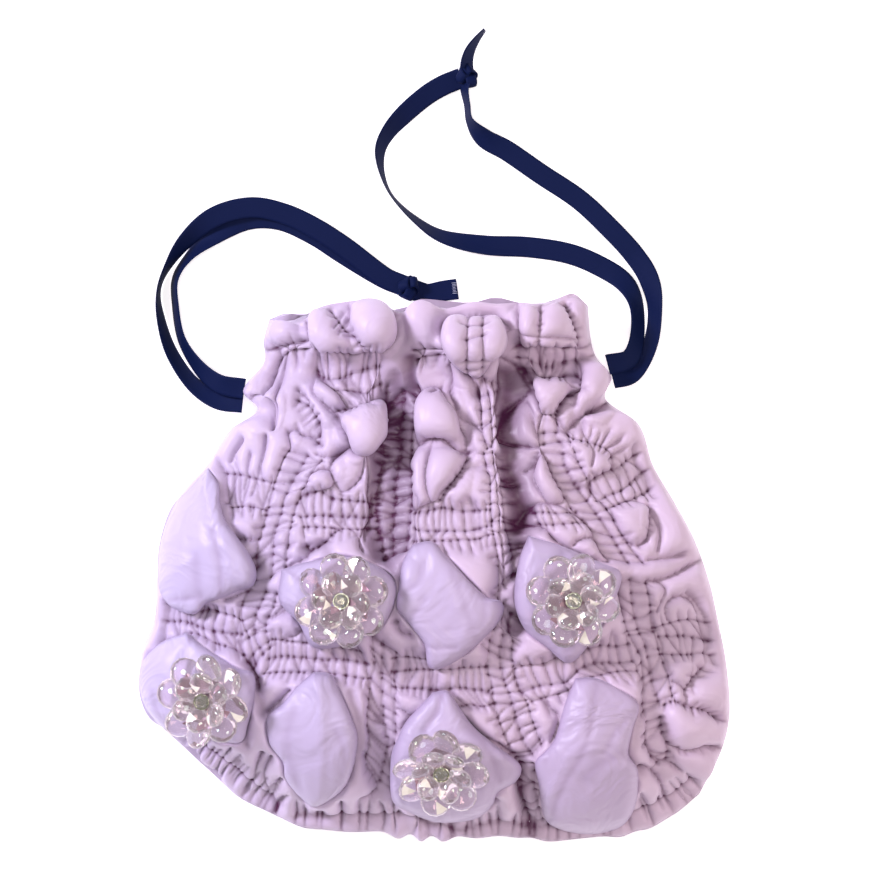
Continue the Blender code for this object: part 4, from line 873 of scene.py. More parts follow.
# stiffness of the stitching on a raster, and the places of its stitches
def stitchwork(sheet, bandTable, seamTable, seed):
    field = np.zeros((sheet["rows"], sheet["columns"]))
    dice = np.random.default_rng(seed)
    stitches = []
    for pitch, runOn, rows in bandTable:
        lines = [smoothRoute(row, 0.3)[0] for row in rows]
        for line in lines:
            markLine(field, line, sheet["wall"] * quilt["rowGrip"], sheet)
        count = max(2, round(len(lines[len(lines) // 2]) * 0.3 / pitch))
        shares = np.clip((np.arange(count + 1) + 0.30 * dice.uniform(-1, 1, count + 1)) / count, 0, 1)
        marks = []
        for line in lines:
            own = np.clip(shares + 0.26 * dice.uniform(-1, 1, count + 1) / count, 0, 1)
            marks.append([line[int(t * (len(line) - 1))] for t in own])
        for near, far in zip(marks, marks[1:]):
            for k in range(count + 1):
                slip = int(dice.choice([0, 0, 0, 0, 1, -1]))
                crease(field, near[k], far[min(max(k + slip, 0), count)], False,
                       sheet["wall"] * dice.uniform(0.05, 0.6), sheet, dice)
        for k in range(count + 1):
            for ends in ((marks[0][k], marks[1 % len(marks)][k]),
                         (marks[-1][k], marks[-2 % len(marks)][k])):
                out = np.array(ends[0]) - np.array(ends[1])
                if len(marks) == 1:
                    last = len(lines[0]) - 1
                    at = int(shares[k] * last)
                    along = lines[0][min(at + 6, last)] - lines[0][max(at - 6, 0)]
                    out = np.array([along[1], -along[0]])
                out = out / max(np.hypot(*out), 1e-6)
                run = runOn * dice.uniform(0.45, 1.5)
                crease(field, ends[0], np.array(ends[0]) + out * run, True,
                       sheet["wall"] * dice.uniform(0.3, 0.9), sheet, dice)
                if len(marks) == 1:
                    crease(field, ends[0], np.array(ends[0]) - out * run * 0.6, True,
                           sheet["wall"] * 0.6, sheet, dice)
        for row in marks:
            stitches += [tuple(place) for place in row]
    for puckers, route in seamTable:
        line = smoothRoute(route, 0.3)[0]
        markLine(field, line, sheet["wall"] * (1.0 if puckers > 0 else quilt["seamGrip"]), sheet)
        at = 5
        while puckers > 0.15 and at < len(line) - 6:
            along = line[at + 3] - line[at - 3]
            out = np.array([along[1], -along[0]]) / max(np.hypot(*along), 1e-6)
            turned = out + 0.5 * dice.standard_normal() * along / max(np.hypot(*along), 1e-6)
            run = 12 * puckers * dice.uniform(0.3, 1.2)
            crease(field, line[at], line[at] + turned * run, True, sheet["wall"] * 0.5, sheet, dice)
            crease(field, line[at], line[at] - turned * run, True, sheet["wall"] * 0.5, sheet, dice)
            if puckers > 0.45:
                stitches.append(tuple(line[at]))
            at += int(dice.uniform(16, 34))
    return field, stitches


# height, in pixels, of a skin blown up between its stitches: solved from coarse to fine
def blownUp(stiff, sheet):
    high = None
    for factor, rounds in ((4, 260), (2, 120), (1, 70)):
        rows, columns = stiff.shape[0] // factor, stiff.shape[1] // factor
        blocks = stiff[:rows * factor, :columns * factor].reshape(rows, factor, columns, factor)
        blocks = blocks.max(axis=(1, 3))
        cell = sheet["step"] * factor
        high = np.zeros((rows, columns)) if high is None else resized(high, rows, columns)
        under = 1 / (4 + blocks + (cell / sheet["reach"]) ** 2)
        for k in range(rounds):
            wide = np.pad(high, 1, mode="edge")
            high = (wide[:-2, 1:-1] + wide[2:, 1:-1] + wide[1:-1, :-2] + wide[1:-1, 2:] + cell**2) * under
    return np.sqrt(high)


def pitted(field, stitches, sheet):
    reach = int(3 * sheet["pitRadius"] / sheet["step"])
    for px, py in stitches:
        i, j = round((py - sheet["top"]) / sheet["step"]), round((px - sheet["left"]) / sheet["step"])
        if reach < i < field.shape[0] - reach - 1 and reach < j < field.shape[1] - reach - 1:
            di, dj = np.mgrid[-reach:reach + 1, -reach:reach + 1] * sheet["step"] / sheet["pitRadius"]
            block = np.s_[i - reach:i + reach + 1, j - reach:j + reach + 1]
            field[block] -= sheet["pitDepth"] * np.exp(-di**2 - dj**2)
    return field


def sampled(field, px, py, sheet):
    i = np.clip((py - sheet["top"]) / sheet["step"], 0, field.shape[0] - 1.001)
    j = np.clip((px - sheet["left"]) / sheet["step"], 0, field.shape[1] - 1.001)
    i0, j0 = i.astype(int), j.astype(int)
    fi, fj = i - i0, j - j0
    return ((field[i0, j0] * (1 - fj) + field[i0, j0 + 1] * fj) * (1 - fi)
            + (field[i0 + 1, j0] * (1 - fj) + field[i0 + 1, j0 + 1] * fj) * fi)


rasterY, rasterX = np.mgrid[0:quilt["rows"], 0:quilt["columns"]] * quilt["step"]
rasterY += quilt["top"]
rasterX += quilt["left"]
stiff, stitches = stitchwork(quilt, smocking.values(), seams, quilt["seed"])
for height, outline in lobes:
    line = smoothRoute(list(outline) + [outline[0]], 0.3)[0]
    markLine(stiff, line, quilt["wall"] * quilt["lobeGrip"], quilt)
puffed = blurred(blownUp(stiff, quilt), 1)
detail = puffed * photo["pixel"] * quilt["fullness"] - quilt["mean"]
for height, outline in lobes:
    within = insideOutline(outline, rasterX, rasterY).astype(float)
    rounded = blurred(within[::3, ::3].copy(), quilt["lobeRound"])
    rounded = resized(rounded, quilt["rows"], quilt["columns"])
    domed = 0.4 + 0.9 * np.clip(2 * rounded - 1, 0, 1)
    detail += height * mm * blurred(within, quilt["lobeEdge"]) * domed
deepest = np.zeros(detail.shape)
for depth, halfWidth, route in valleys:
    for px, py in smoothRoute(route, 2.0)[0]:
        reach = int(3 * halfWidth / quilt["step"])
        i, j = int((py - quilt["top"]) / quilt["step"]), int((px - quilt["left"]) / quilt["step"])
        block = np.s_[max(0, i - reach):i + reach, max(0, j - reach):j + reach]
        away = np.hypot(rasterX[block] - px, rasterY[block] - py) / halfWidth
        deepest[block] = np.maximum(deepest[block], depth * np.exp(-away**2))
detail -= deepest * mm
detail = pitted(detail, stitches, quilt)
detail += quilt["roughness"] * (smoothNoise(quilt["rows"], quilt["columns"], 26, 3)
                                + 0.5 * smoothNoise(quilt["rows"], quilt["columns"], 9, 4))
for name, outline in petalOutlines.items():
    under = blurred(insideOutline(outline, rasterX, rasterY).astype(float), 12)
    detail = detail * (1 - under) + np.minimum(detail, -quilt["petalPress"]) * under
# painted shade: how dark each place is painted in thin creases, low ground, sunk ground, valleys, stitch
# holes and slow folds
paintedShade = (quilt["creaseShade"] * np.exp(-(puffed / quilt["creaseHeight"]) ** 2)
          + quilt["lowShade"] * np.clip(1 - puffed / quilt["lowHeight"], 0, 1)
          + quilt["sunkShade"] * np.clip((blurred(detail, 40) - detail) / quilt["sunkDepth"], 0, 1))
holes = pitted(np.zeros(detail.shape), stitches, quilt) / quilt["pitDepth"]
paintedShade = np.clip(paintedShade + deepest / quilt["valleyShade"] - quilt["stitchShade"] * holes, 0, 1)
slow = np.clip(-slowRelief(*fromPhoto(rasterX[::4, ::4], rasterY[::4, ::4])) / quilt["foldFull"], 0, 1)
paintedShade = np.clip(paintedShade + quilt["foldShade"] * resized(slow, quilt["rows"], quilt["columns"]), 0, 1)
print("stage: stitching,", len(stitches), "stitches")


def easeIn(t):
    t = np.clip(t, 0, 1)
    return t * t * (3 - 2 * t)


panel = {"frontRows": 480, "frontColumns": 440, "ratio": 8, "keep": 0.44, "backRows": 208,
         "backColumns": 200, "edgeFade": 4.5 * mm}


def quiltedFront():
    rows, columns = panel["frontRows"], panel["frontColumns"]
    s, v = np.meshgrid(spreadOut(columns), np.arange(rows + 1) / rows)
    points = outerSkin("front", rows, columns)
    width = (tableValue(pouch["sides"], 3, v) - tableValue(pouch["sides"], 1, v)) * pouch["halfWidth"]
    fade = np.minimum(1, 1.6 * roundOff(s, pouch["sectionPower"])) * np.minimum(1, v / pouch["frontEdge"])
    points[..., 2] += slowRelief(points[..., 0], points[..., 1]) * fade
    px = points[..., 0] / photo["pixel"] + photo["middleX"]
    py = photo["middleY"] - points[..., 1] / photo["pixel"]
    edge = easeIn(np.minimum(s, 1 - s) * width / panel["edgeFade"])
    edge *= easeIn(v * 2 * pouch["halfLength"] / panel["edgeFade"])
    edge *= easeIn((1 - v) * 2 * pouch["halfLength"] / panel["edgeFade"])
    smooth = points.copy()
    for k in range(3):
        smooth[..., k] = blurred(smooth[..., k], 14)
    push = sampled(detail, px, py, quilt) * edge
    return points + surfaceNormals(smooth) * push[..., None], px, py


def withShades(piece, px, py):
    mesh = piece.data
    layer = mesh.uv_layers.new(name="plan")
    at = np.zeros(len(mesh.loops), np.int32)
    mesh.loops.foreach_get("vertex_index", at)
    count = px.size
    uv = np.zeros((len(mesh.vertices), 2))
    uv[:count, 0] = px.ravel()
    uv[:count, 1] = py.ravel()
    layer.data.foreach_set("uv", uv[at].ravel().astype(np.float32))


def thinned(piece, keep):
    deselectAll()
    piece.select_set(True)
    bpy.context.view_layer.objects.active = piece
    thin = piece.modifiers.new("thin", "DECIMATE")
    thin.ratio = keep
    bpy.ops.object.modifier_apply(modifier="thin")


# writes the painted shade of each corner, read from a raster of crease shade; corners off that raster get a
# fixed amount
def markPaintedShade(piece, field, sheet):
    mesh = piece.data
    uv = np.zeros(len(mesh.loops) * 2, np.float32)
    mesh.uv_layers["plan"].data.foreach_get("uv", uv)
    uv = uv.reshape(-1, 2)
    deep = np.where(uv[:, 0] > 1, sampled(field, uv[:, 0], uv[:, 1], sheet), 0.3)
    layer = mesh.attributes.new("paintedShade", "FLOAT", "CORNER")
    layer.data.foreach_set("value", deep.astype(np.float32))


# the lowest place of the quilting round about, so that the wadding keeps the inner skin below it
lowRaster = detail[::8, ::8].copy()
lowRows, lowColumns = lowRaster.shape
for k in range(6):
    wide = np.pad(lowRaster, 1, mode="edge")
    lowRaster = np.minimum.reduce([wide[i:i + lowRows, j:j + lowColumns]
                                   for i in range(3) for j in range(3)])
lowRaster = blurred(lowRaster, 3)
lowSheet = dict(quilt, step=quilt["step"] * 8)


def lowestNear(x, y):
    px, py = x / photo["pixel"] + photo["middleX"], photo["middleY"] - y / photo["pixel"]
    return sampled(lowRaster, px, py, lowSheet) + np.minimum(0, slowRelief(x, y))


frontPoints, frontX, frontY = quiltedFront()
frontWall = wallPiece("front_panel", "front", frontPoints, panel["ratio"], nylon, lowestNear)
withShades(frontWall, frontX, frontY)
thinned(frontWall, panel["keep"])
markPaintedShade(frontWall, paintedShade, quilt)
frontWall.data.shade_smooth()
print("front panel has", sum(len(p.vertices) - 2 for p in frontWall.data.polygons), "triangles")


# the back lies on the floor: the same quilting as plain bands, with its seams drawn up into the wadding
backSheet = {
    "step": 1.1, "left": 118.0, "top": 283.0, "columns": 576, "rows": 524, "wall": 30.0, "reach": 16.0,
    "drawnUp": 3.0 * mm, "fullHeight": 7.0, "bandGap": 12, "middle": 434, "sway": 9, "seed": 23,
    "creaseShade": 0.75, "creaseHeight": 1.6,
    # half widths of the bands' spread, in pixels, down the back
    "halves": [(392, 165), (440, 198), (500, 236), (580, 272), (660, 290), (740, 280), (800, 230),
               (832, 150)],
}


def rowSlips(count):
    return [(k - (count - 1) / 2) * backSheet["bandGap"] for k in range(count)]


def backBand(share, count):
    return [[(backSheet["middle"] + share * half + slip, py) for py, half in backSheet["halves"]]
            for slip in rowSlips(count)]


def backRow(py, half, count):
    return [[(backSheet["middle"] + half * t, py + slip + backSheet["sway"] * math.sin(3 * t + py))
             for t in (-0.97, -0.6, -0.3, 0, 0.3, 0.6, 0.97)] for slip in rowSlips(count)]


backBands = [(11, 9, backBand(share, 3)) for share in (-0.66, -0.24, 0.2, 0.62)]
backBands += [(8, 12, backRow(480, 222, 3)), (8, 12, backRow(588, 272, 3)),
              (8, 12, backRow(702, 285, 3)), (8, 11, backRow(366, 160, 2))]
backBands += [(10, 15, [[(250, 800), (340, 823), (430, 828), (520, 828), (610, 822), (690, 788)]])]
backSeams = [(0.4, [(backSheet["middle"] + a * 120 + 10, py), (backSheet["middle"] + a * 120 + 60, py + 75)])
             for py in (398, 500, 610, 722) for a in (-2, -1, 0, 1)]
backStiff = stitchwork(backSheet, backBands, backSeams, backSheet["seed"])[0]
backPuffed = blurred(blownUp(backStiff, backSheet), 1)
# painted shade in the back's creases
backPaintedShade = backSheet["creaseShade"] * np.exp(-(backPuffed / backSheet["creaseHeight"]) ** 2)
backPaintedShade = np.clip(backPaintedShade, 0, 1)
backDrawn = backSheet["drawnUp"] * np.clip(1 - backPuffed / backSheet["fullHeight"], 0, 1)


def quiltedBack():
    rows, columns = panel["backRows"], panel["backColumns"]
    s, v = np.meshgrid(spreadOut(columns), np.arange(rows + 1) / rows)
    points = outerSkin("back", rows, columns)
    px = points[..., 0] / photo["pixel"] + photo["middleX"]
    py = photo["middleY"] - points[..., 1] / photo["pixel"]
    edge = easeIn(np.minimum(s, 1 - s) / 0.05) * easeIn(v / 0.04) * easeIn((1 - v) / 0.03)
    points[..., 2] += sampled(backDrawn, px, py, backSheet) * edge
    return points, px, py


backPoints, backX, backY = quiltedBack()
backWall = wallPiece("back_panel", "back", backPoints, panel["ratio"], nylon)
withShades(backWall, backX, backY)
markPaintedShade(backWall, backPaintedShade, backSheet)
backWall.data.shade_smooth()
for piece in (frontWall, backWall):
    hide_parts("bag_body")
    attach(piece, "root")
print("stage: pouch")


# share across and share along of a place on the front
def locate(x, y):
    s = np.clip((x / pouch["halfWidth"] + 1) / 2, 0, 1)
    v = np.clip((y / pouch["halfLength"] + 1) / 2, 0, 1)
    for k in range(40):
        atX, atY = planPoint(s, v, "front")
        width = (tableValue(pouch["sides"], 3, v) - tableValue(pouch["sides"], 1, v)) * pouch["halfWidth"]
        s = np.clip(s - 0.8 * (atX - x) / width, 0, 1)
        v = np.clip(v - 0.8 * (atY - y) / (1.75 * pouch["halfLength"]), 0, 1)
    return s, v


def baseAt(x, y):
    return baseHeight(*locate(np.asarray(x, float), np.asarray(y, float)))


# petals: padded pillows with a few soft flats and creases
petal = {
    "thickness": 8.7 * mm, "rings": 34, "around": 170, "under": 6, "underDepth": 2.4 * mm,
    "rimLift": 1.1 * mm, "rimLow": -2.5 * mm, "rimHigh": 3.0 * mm, "edgeStep": 0.8 * mm,
    "crown": 0.3 * mm, "sag": 0.35 * mm, "fullPower": 9, "facets": 6, "facet": 1.6 * mm,
    "soft": 0.12 * mm, "spread": 22.0, "facetFloor": -2.2 * mm, "dropSpan": 26,
    "rimShade": 0.30, "rimSpan": 0.03, "creaseShade": 0.22, "underShade": 0.5,
    # for each petal: depth in mm, drop to the right in mm, half width in pixels, route
    "creases": {
        "petal_1": [(0.9, 1.4, 6, [(214, 530), (221, 565), (222, 592)]),
                    (0.7, 0.0, 9, [(196, 555), (200, 602)]),
                    (0.9, 0.0, 5, [(170, 600), (186, 598), (202, 596)])],
        "petal_2": [(0.7, 0.0, 6, [(290, 572), (320, 590), (340, 640)])],
        "petal_3": [(0.5, 1.8, 7, [(444, 552), (458, 585), (470, 620), (478, 646)]),
                    (0.7, 0.0, 6, [(402, 594), (416, 582), (424, 562)]),
                    (0.7, 0.0, 3, [(424, 645), (438, 647), (456, 646)]),
                    (0.6, 0.0, 5, [(424, 600), (410, 618)]),
                    (0.5, 0.0, 5, [(486, 598), (482, 622), (470, 632)])],
        "petal_4": [(0.7, 0.8, 6, [(560, 548), (572, 600), (566, 660)])],
        "petal_5": [(0.9, 0.0, 5, [(193, 636), (182, 655), (178, 690)]),
                    (0.8, 0.0, 5, [(222, 662), (244, 674), (252, 690)]),
                    (0.8, 0.0, 6, [(152, 690), (158, 712), (172, 728)])],
        "petal_6": [(-0.7, 2.4, 5, [(317, 672), (322, 700), (323, 750), (319, 803)]),
                    (0.5, 0.0, 8, [(298, 690), (288, 745), (300, 790)]),
                    (0.5, 0.0, 5, [(336, 728), (345, 752), (340, 780)])],
        "petal_7": [(1.2, 0.0, 5, [(442, 692), (436, 712), (425, 728)]),
                    (0.8, 0.0, 6, [(468, 726), (490, 752), (500, 780)]),
                    (0.7, 0.0, 5, [(398, 738), (395, 770), (404, 806)])],
        "petal_8": [(0.7, 2.1, 6, [(596, 680), (590, 720), (580, 755), (562, 785), (550, 822)]),
                    (0.7, 0.0, 9, [(628, 750), (600, 762), (585, 776)]),
                    (0.5, 0.0, 5, [(566, 692), (556, 730), (545, 760)]),
                    (0.6, 0.0, 6, [(640, 706), (618, 726), (604, 750)])],
    },
}


# distance to a route, below zero on its left as one goes along it
def sideDistance(px, py, route):
    near = np.full(px.shape, 1e9)
    side = np.ones(px.shape)
    for (ax, ay), (bx, by) in zip(route, route[1:]):
        t = shareAlong(px, py, ax, ay, bx, by)
        away = np.hypot(px - ax - t * (bx - ax), py - ay - t * (by - ay))
        turn = (bx - ax) * (py - ay) - (by - ay) * (px - ax)
        side = np.where(away < near, np.where(turn > 0, -1.0, 1.0), side)
        near = np.minimum(near, away)
    return near * side


def petalPiece(name, outline, seed):
    edge = smoothRoute(list(outline) + [outline[0]], 0.5)[0]
    edge = edge[np.linspace(0, len(edge) - 1, petal["around"], endpoint=False).astype(int)]
    middle = edge.mean(axis=0)
    scales = np.cos(np.linspace(0, np.pi / 2 * 0.985, petal["rings"]))
    top = middle + (edge - middle) * scales[:, None, None]
    px, py = top[..., 0], top[..., 1]
    x, y = fromPhoto(px, py)
    edgeX, edgeY = edge[:, 0], edge[:, 1]
    ground = sampled(detail, edgeX, edgeY, quilt) + slowRelief(*fromPhoto(edgeX, edgeY))
    around = np.concatenate([ground[-8:], ground, ground[:8]])
    rim = np.convolve(around, np.ones(17) / 17, "valid") + petal["rimLift"]
    rim = np.clip(rim, petal["rimLow"], petal["rimHigh"])[None, :]
    full = ((1 - scales ** petal["fullPower"]) ** 0.5)[:, None]
    domed = 1 - scales[:, None] ** 2
    z = baseAt(x, y) + rim * (1 - full) + petal["thickness"] * full + petal["crown"] * domed
    rough = smoothNoise(200, 200, 34, seed) + 0.35 * smoothNoise(200, 200, 12, seed + 40)
    sheet = {"left": middle[0] - 75, "top": middle[1] - 110, "step": 1.0}
    rough = np.pad(rough, ((0, 40), (0, 0)), mode="edge")
    z += petal["sag"] * sampled(rough, px, py, sheet) * full
    dice = np.random.default_rng(seed + 90)
    flats = []
    for k in range(petal["facets"]):
        angle = (k + dice.uniform(-0.35, 0.35)) * 2 * np.pi / petal["facets"]
        slope = dice.uniform(0.5, 1.2) * petal["facet"]
        along = (px - middle[0]) * np.cos(angle) + (py - middle[1]) * np.sin(angle)
        flats.append(np.maximum(dice.uniform(0.1, 0.8) * mm + slope * (1 - along / petal["spread"]),
                                petal["facetFloor"]))
    z += -petal["soft"] * np.log(sum(np.exp(-flat / petal["soft"]) for flat in flats)) * full
    # painted shade along the petal's rim and in its creases
    shade = petal["rimShade"] * np.exp(-((1 - scales) / petal["rimSpan"])[:, None]) * np.ones(px.shape)
    for depth, drop, halfWidth, route in petal["creases"][name]:
        away = sideDistance(px, py, smoothRoute(route, 2.0)[0])
        z -= depth * mm * np.exp(-(away / halfWidth) ** 2) * full
        z -= drop * mm * easeIn(-away / petal["dropSpan"]) * full * (drop > 0)
        shade = np.maximum(shade, petal["creaseShade"] * depth * np.exp(-(away / (0.6 * halfWidth)) ** 2))
    upper = np.stack([x, y, z], -1)
    low = []
    for share in np.linspace(0.985, 0.1, petal["under"]):
        lx, ly = fromPhoto(*(middle + (edge - middle) * share).T)
        lz = np.minimum(baseAt(lx, ly) + rim[0] - petal["edgeStep"], z[0] - petal["edgeStep"])
        low.append(np.stack([lx, ly, lz - petal["underDepth"] * (1 - share) ** 0.5], -1))
    points = np.vstack([np.array(low)[::-1].reshape(-1, 3), upper.reshape(-1, 3)])
    count = petal["around"]
    total = petal["under"] + petal["rings"]
    faces = []
    for i in range(total - 1):
        for k in range(count):
            j = (k + 1) % count
            faces.append((i * count + k, (i + 1) * count + k, (i + 1) * count + j, i * count + j))
    last = (total - 1) * count
    faces.append(tuple(range(count)))
    faces.append(tuple(last + k for k in range(count))[::-1])
    piece = meshPiece(name + "_pillow", points, faces, petalNylon)
    # painted shade: rim and creases above, a flat amount on the underside
    layer = piece.data.attributes.new("paintedShade", "FLOAT", "POINT")
    marks = np.concatenate([np.full(petal["under"] * count, petal["underShade"]), shade.ravel()])
    layer.data.foreach_set("value", marks.astype(np.float32))
    return piece


for seed, (name, outline) in enumerate(petalOutlines.items()):
    made = petalPiece(name, outline, 20 + seed)
    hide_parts(name)
    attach(made, "root")
print("stage: petals")


# crystal flowers: sizes in mm, the places are shares of the pouch's half width and half length
flower = {
    "places": {1: (-0.31, -0.11, 0), 2: (0.46, -0.11, 20), 3: (-0.768, -0.468, 10), 4: (0.022, -0.712, 30)},
    "discRadius": 12.0, "discHeight": 2.4, "hubRadius": 0.62 * 6.0, "hubHeight": 6.0,
    "rise": 0.9 * 8.5 * mm, "reach": 13.5 * mm,
    "outer": {"count": 8, "sides": 14, "start": 4, "size": (16.0, 19.0, 7.8), "end": 23.4, "lift": 4.8,
              "tilt": 17},
    "inner": {"count": 6, "sides": 12, "start": 17, "size": (12.6, 15.2, 7.2), "end": 15.4, "lift": 9.0,
              "tilt": 34},
    "stone": {"radius": 4.15, "height": 3.4, "claws": 4, "ringWire": 0.42, "clawSize": 0.55},
    "innerNarrow": (1, 0.80, 0.85), "foilFrom": 0.24, "smoothFrom": -0.15, "swing": 5, "roll": 28, "nod": 9,
    # painted rim highlight of the beads: its blend and strength
    "paintedRimBlend": 0.35, "paintedRimGlow": 0.11,
}


def principled(name, **values):
    made = bpy.data.materials.new(name)
    made.use_nodes = True
    shader = made.node_tree.nodes["Principled BSDF"]
    for key, value in values.items():
        shader.inputs[key.replace("_", " ")].default_value = value
    return made


crystal = principled("cutCrystal", Base_Color=(0.97, 0.90, 0.93, 1), Roughness=0.03, IOR=1.50,
                     Transmission_Weight=0.92, Thin_Film_Thickness=380.0, Thin_Film_IOR=1.40,
                     Coat_Weight=0.5, Emission_Color=(1.0, 0.95, 0.98, 1))
# painted highlight: the beads' rims glow all round, as if they caught the light
paintedRimFacing = crystal.node_tree.nodes.new("ShaderNodeLayerWeight")
paintedRimFacing.inputs["Blend"].default_value = flower["paintedRimBlend"]
paintedRimPower = crystal.node_tree.nodes.new("ShaderNodeMath")
paintedRimPower.operation = "MULTIPLY"
paintedRimPower.inputs[1].default_value = flower["paintedRimGlow"]
crystal.node_tree.links.new(paintedRimFacing.outputs["Facing"], paintedRimPower.inputs[0])
crystal.node_tree.links.new(paintedRimPower.outputs["Value"],
                            crystal.node_tree.nodes["Principled BSDF"].inputs["Emission Strength"])
# champagne foil facets, partly the beads' foil colour and partly a painted glint that glows
foilAndGlint = principled("champagneFoilGlint", Base_Color=(0.92, 0.86, 0.76, 1), Roughness=0.22, Metallic=0.4,
                  Emission_Color=(1.0, 0.93, 0.82, 1), Emission_Strength=0.22)
roseFoil = principled("roseFacet", Base_Color=(0.50, 0.33, 0.38, 1), Roughness=0.18, Metallic=0.4)
backing = principled("paleBacking", Base_Color=(0.30, 0.19, 0.23, 1), Roughness=0.4)
setting = principled("paleSetting", Base_Color=(0.66, 0.70, 0.54, 1), Roughness=0.16, Metallic=1.0)


def activePiece():
    return bpy.context.view_layer.objects.active


# one cut bead: a flattened ball, broader at its outer end, faceted below and with a few foiled facets above,
# the champagne ones with a painted glint
def cutBead(name, size, segments, rings, foiled):
    deselectAll()
    bpy.ops.mesh.primitive_uv_sphere_add(segments=segments, ring_count=rings, radius=0.5 * mm)
    bead = activePiece()
    bead.name = name
    bead.scale = size
    bpy.ops.object.transform_apply(location=False, rotation=False, scale=True)
    for v in bead.data.vertices:
        v.select = False
    for p in bead.data.polygons:
        p.select = False
    bpy.ops.object.mode_set(mode="EDIT")
    bpy.ops.mesh.select_mode(type="VERT")
    bpy.ops.object.mode_set(mode="OBJECT")
    for v in bead.data.vertices:
        v.select = v.co.x < -0.1 * size[0] * mm
    bpy.ops.object.mode_set(mode="EDIT")
    bpy.ops.transform.resize(value=flower["innerNarrow"], center_override=(0, 0, 0))
    bpy.ops.object.mode_set(mode="OBJECT")
    bead.data.materials.append(crystal)
    bead.data.materials.append(foilAndGlint)
    bead.data.materials.append(roseFoil)
    bead.data.shade_smooth()
    upper = [p for p in bead.data.polygons if p.center.z > flower["foilFrom"] * size[2] * mm]
    for p in bead.data.polygons:
        p.use_smooth = p.center.z > flower["smoothFrom"] * size[2] * mm
    for p in upper:
        turn = math.degrees(math.atan2(p.center.y, p.center.x)) % 360
        for low, high, paint in foiled:
            if low <= turn < high:
                p.material_index = paint
                p.use_smooth = False
    return bead


def joined(pieces, name):
    deselectAll()
    for piece in pieces:
        piece.select_set(True)
    bpy.context.view_layer.objects.active = pieces[0]
    bpy.ops.object.join()
    whole = activePiece()
    whole.name = name
    return whole


def moved(x, y, z):
    return Matrix.Translation((x * mm, y * mm, z * mm))


def beadHead(number):
    dice = np.random.default_rng(70 + number)
    made = []
    for row, foils in (("outer", [[(10, 62, 1)], [(120, 172, 2)], [(190, 242, 2), (300, 340, 1)],
                                  [(60, 100, 1)], []]),
                       ("inner", [[(20, 60, 2)], [(250, 300, 1)], [(80, 140, 1)], [(150, 200, 2)], []])):
        setup = flower[row]
        for k in range(setup["count"]):
            bead = cutBead(f"{row}Bead", setup["size"], setup["sides"], 6,
                           foils[int(dice.integers(len(foils)))])
            swing = dice.uniform(-flower["swing"], flower["swing"])
            roll = dice.uniform(-flower["roll"], flower["roll"])
            nod = dice.uniform(-flower["nod"], flower["nod"])
            lift = setup["lift"] + dice.uniform(-0.4, 0.7)
            angle = math.radians(setup["start"] + 360 * k / setup["count"] + swing)
            out = moved(setup["end"] - setup["size"][0] / 2, 0, lift)
            spin = Matrix.Rotation(math.radians(roll), 4, "X")
            tilt = Matrix.Rotation(-math.radians(setup["tilt"] + nod), 4, "Y")
            bead.data.transform(Matrix.Rotation(angle, 4, "Z") @ out @ tilt @ spin)
            made.append(bead)
    deselectAll()
    bpy.ops.mesh.primitive_cylinder_add(vertices=40, radius=flower["discRadius"] * mm,
                                        depth=flower["discHeight"] * mm,
                                        location=(0, 0, flower["discHeight"] * mm / 2))
    disc = activePiece()
    bpy.ops.object.transform_apply(location=True)
    disc.data.materials.append(backing)
    bpy.ops.mesh.primitive_cylinder_add(vertices=28, radius=flower["hubRadius"] * mm,
                                        depth=flower["hubHeight"] * mm,
                                        location=(0, 0, flower["hubHeight"] * mm / 2))
    hub = activePiece()
    bpy.ops.object.transform_apply(location=True)
    hub.data.materials.append(backing)
    return joined(made + [disc, hub], f"flower_{number}_cut_beads")


# the middle stone: a pointed-back stone with a table in a pale metal cup with four claws
def centreStone(number):
    radius, height = flower["stone"]["radius"], flower["stone"]["height"]
    base = flower["hubHeight"] + 0.4
    deselectAll()
    bpy.ops.mesh.primitive_cone_add(vertices=8, radius1=radius * 0.80 * mm, radius2=radius * 0.46 * mm,
                                    depth=height * 0.42 * mm,
                                    location=(0, 0, (base + height * 0.76) * mm))
    crown = activePiece()
    bpy.ops.object.transform_apply(location=True)
    crown.data.materials.append(crystal)
    bpy.ops.mesh.primitive_cone_add(vertices=8, radius1=radius * 0.30 * mm, radius2=radius * 0.80 * mm,
                                    depth=height * 0.5 * mm, location=(0, 0, (base + height * 0.30) * mm))
    pavilion = activePiece()
    bpy.ops.object.transform_apply(location=True)
    pavilion.data.materials.append(setting)
    for half in (crown, pavilion):
        half.data.shade_flat()
    bpy.ops.mesh.primitive_torus_add(major_radius=radius * 0.86 * mm,
                                     minor_radius=flower["stone"]["ringWire"] * mm, major_segments=32,
                                     minor_segments=10, location=(0, 0, (base + height * 0.55) * mm))
    ring = activePiece()
    bpy.ops.object.transform_apply(location=True)
    ring.data.materials.append(setting)
    parts = [crown, pavilion, ring]
    for k in range(flower["stone"]["claws"]):
        angle = math.radians(45 + 90 * k)
        away = radius * 0.74 * mm
        top = (base + height * 0.80) * mm
        bpy.ops.mesh.primitive_uv_sphere_add(segments=10, ring_count=8,
                                             radius=flower["stone"]["clawSize"] * mm,
                                             location=(away * math.cos(angle), away * math.sin(angle), top))
        claw = activePiece()
        bpy.ops.object.transform_apply(location=True)
        claw.data.materials.append(setting)
        parts.append(claw)
    return joined(parts, f"flower_{number}_set_stone")


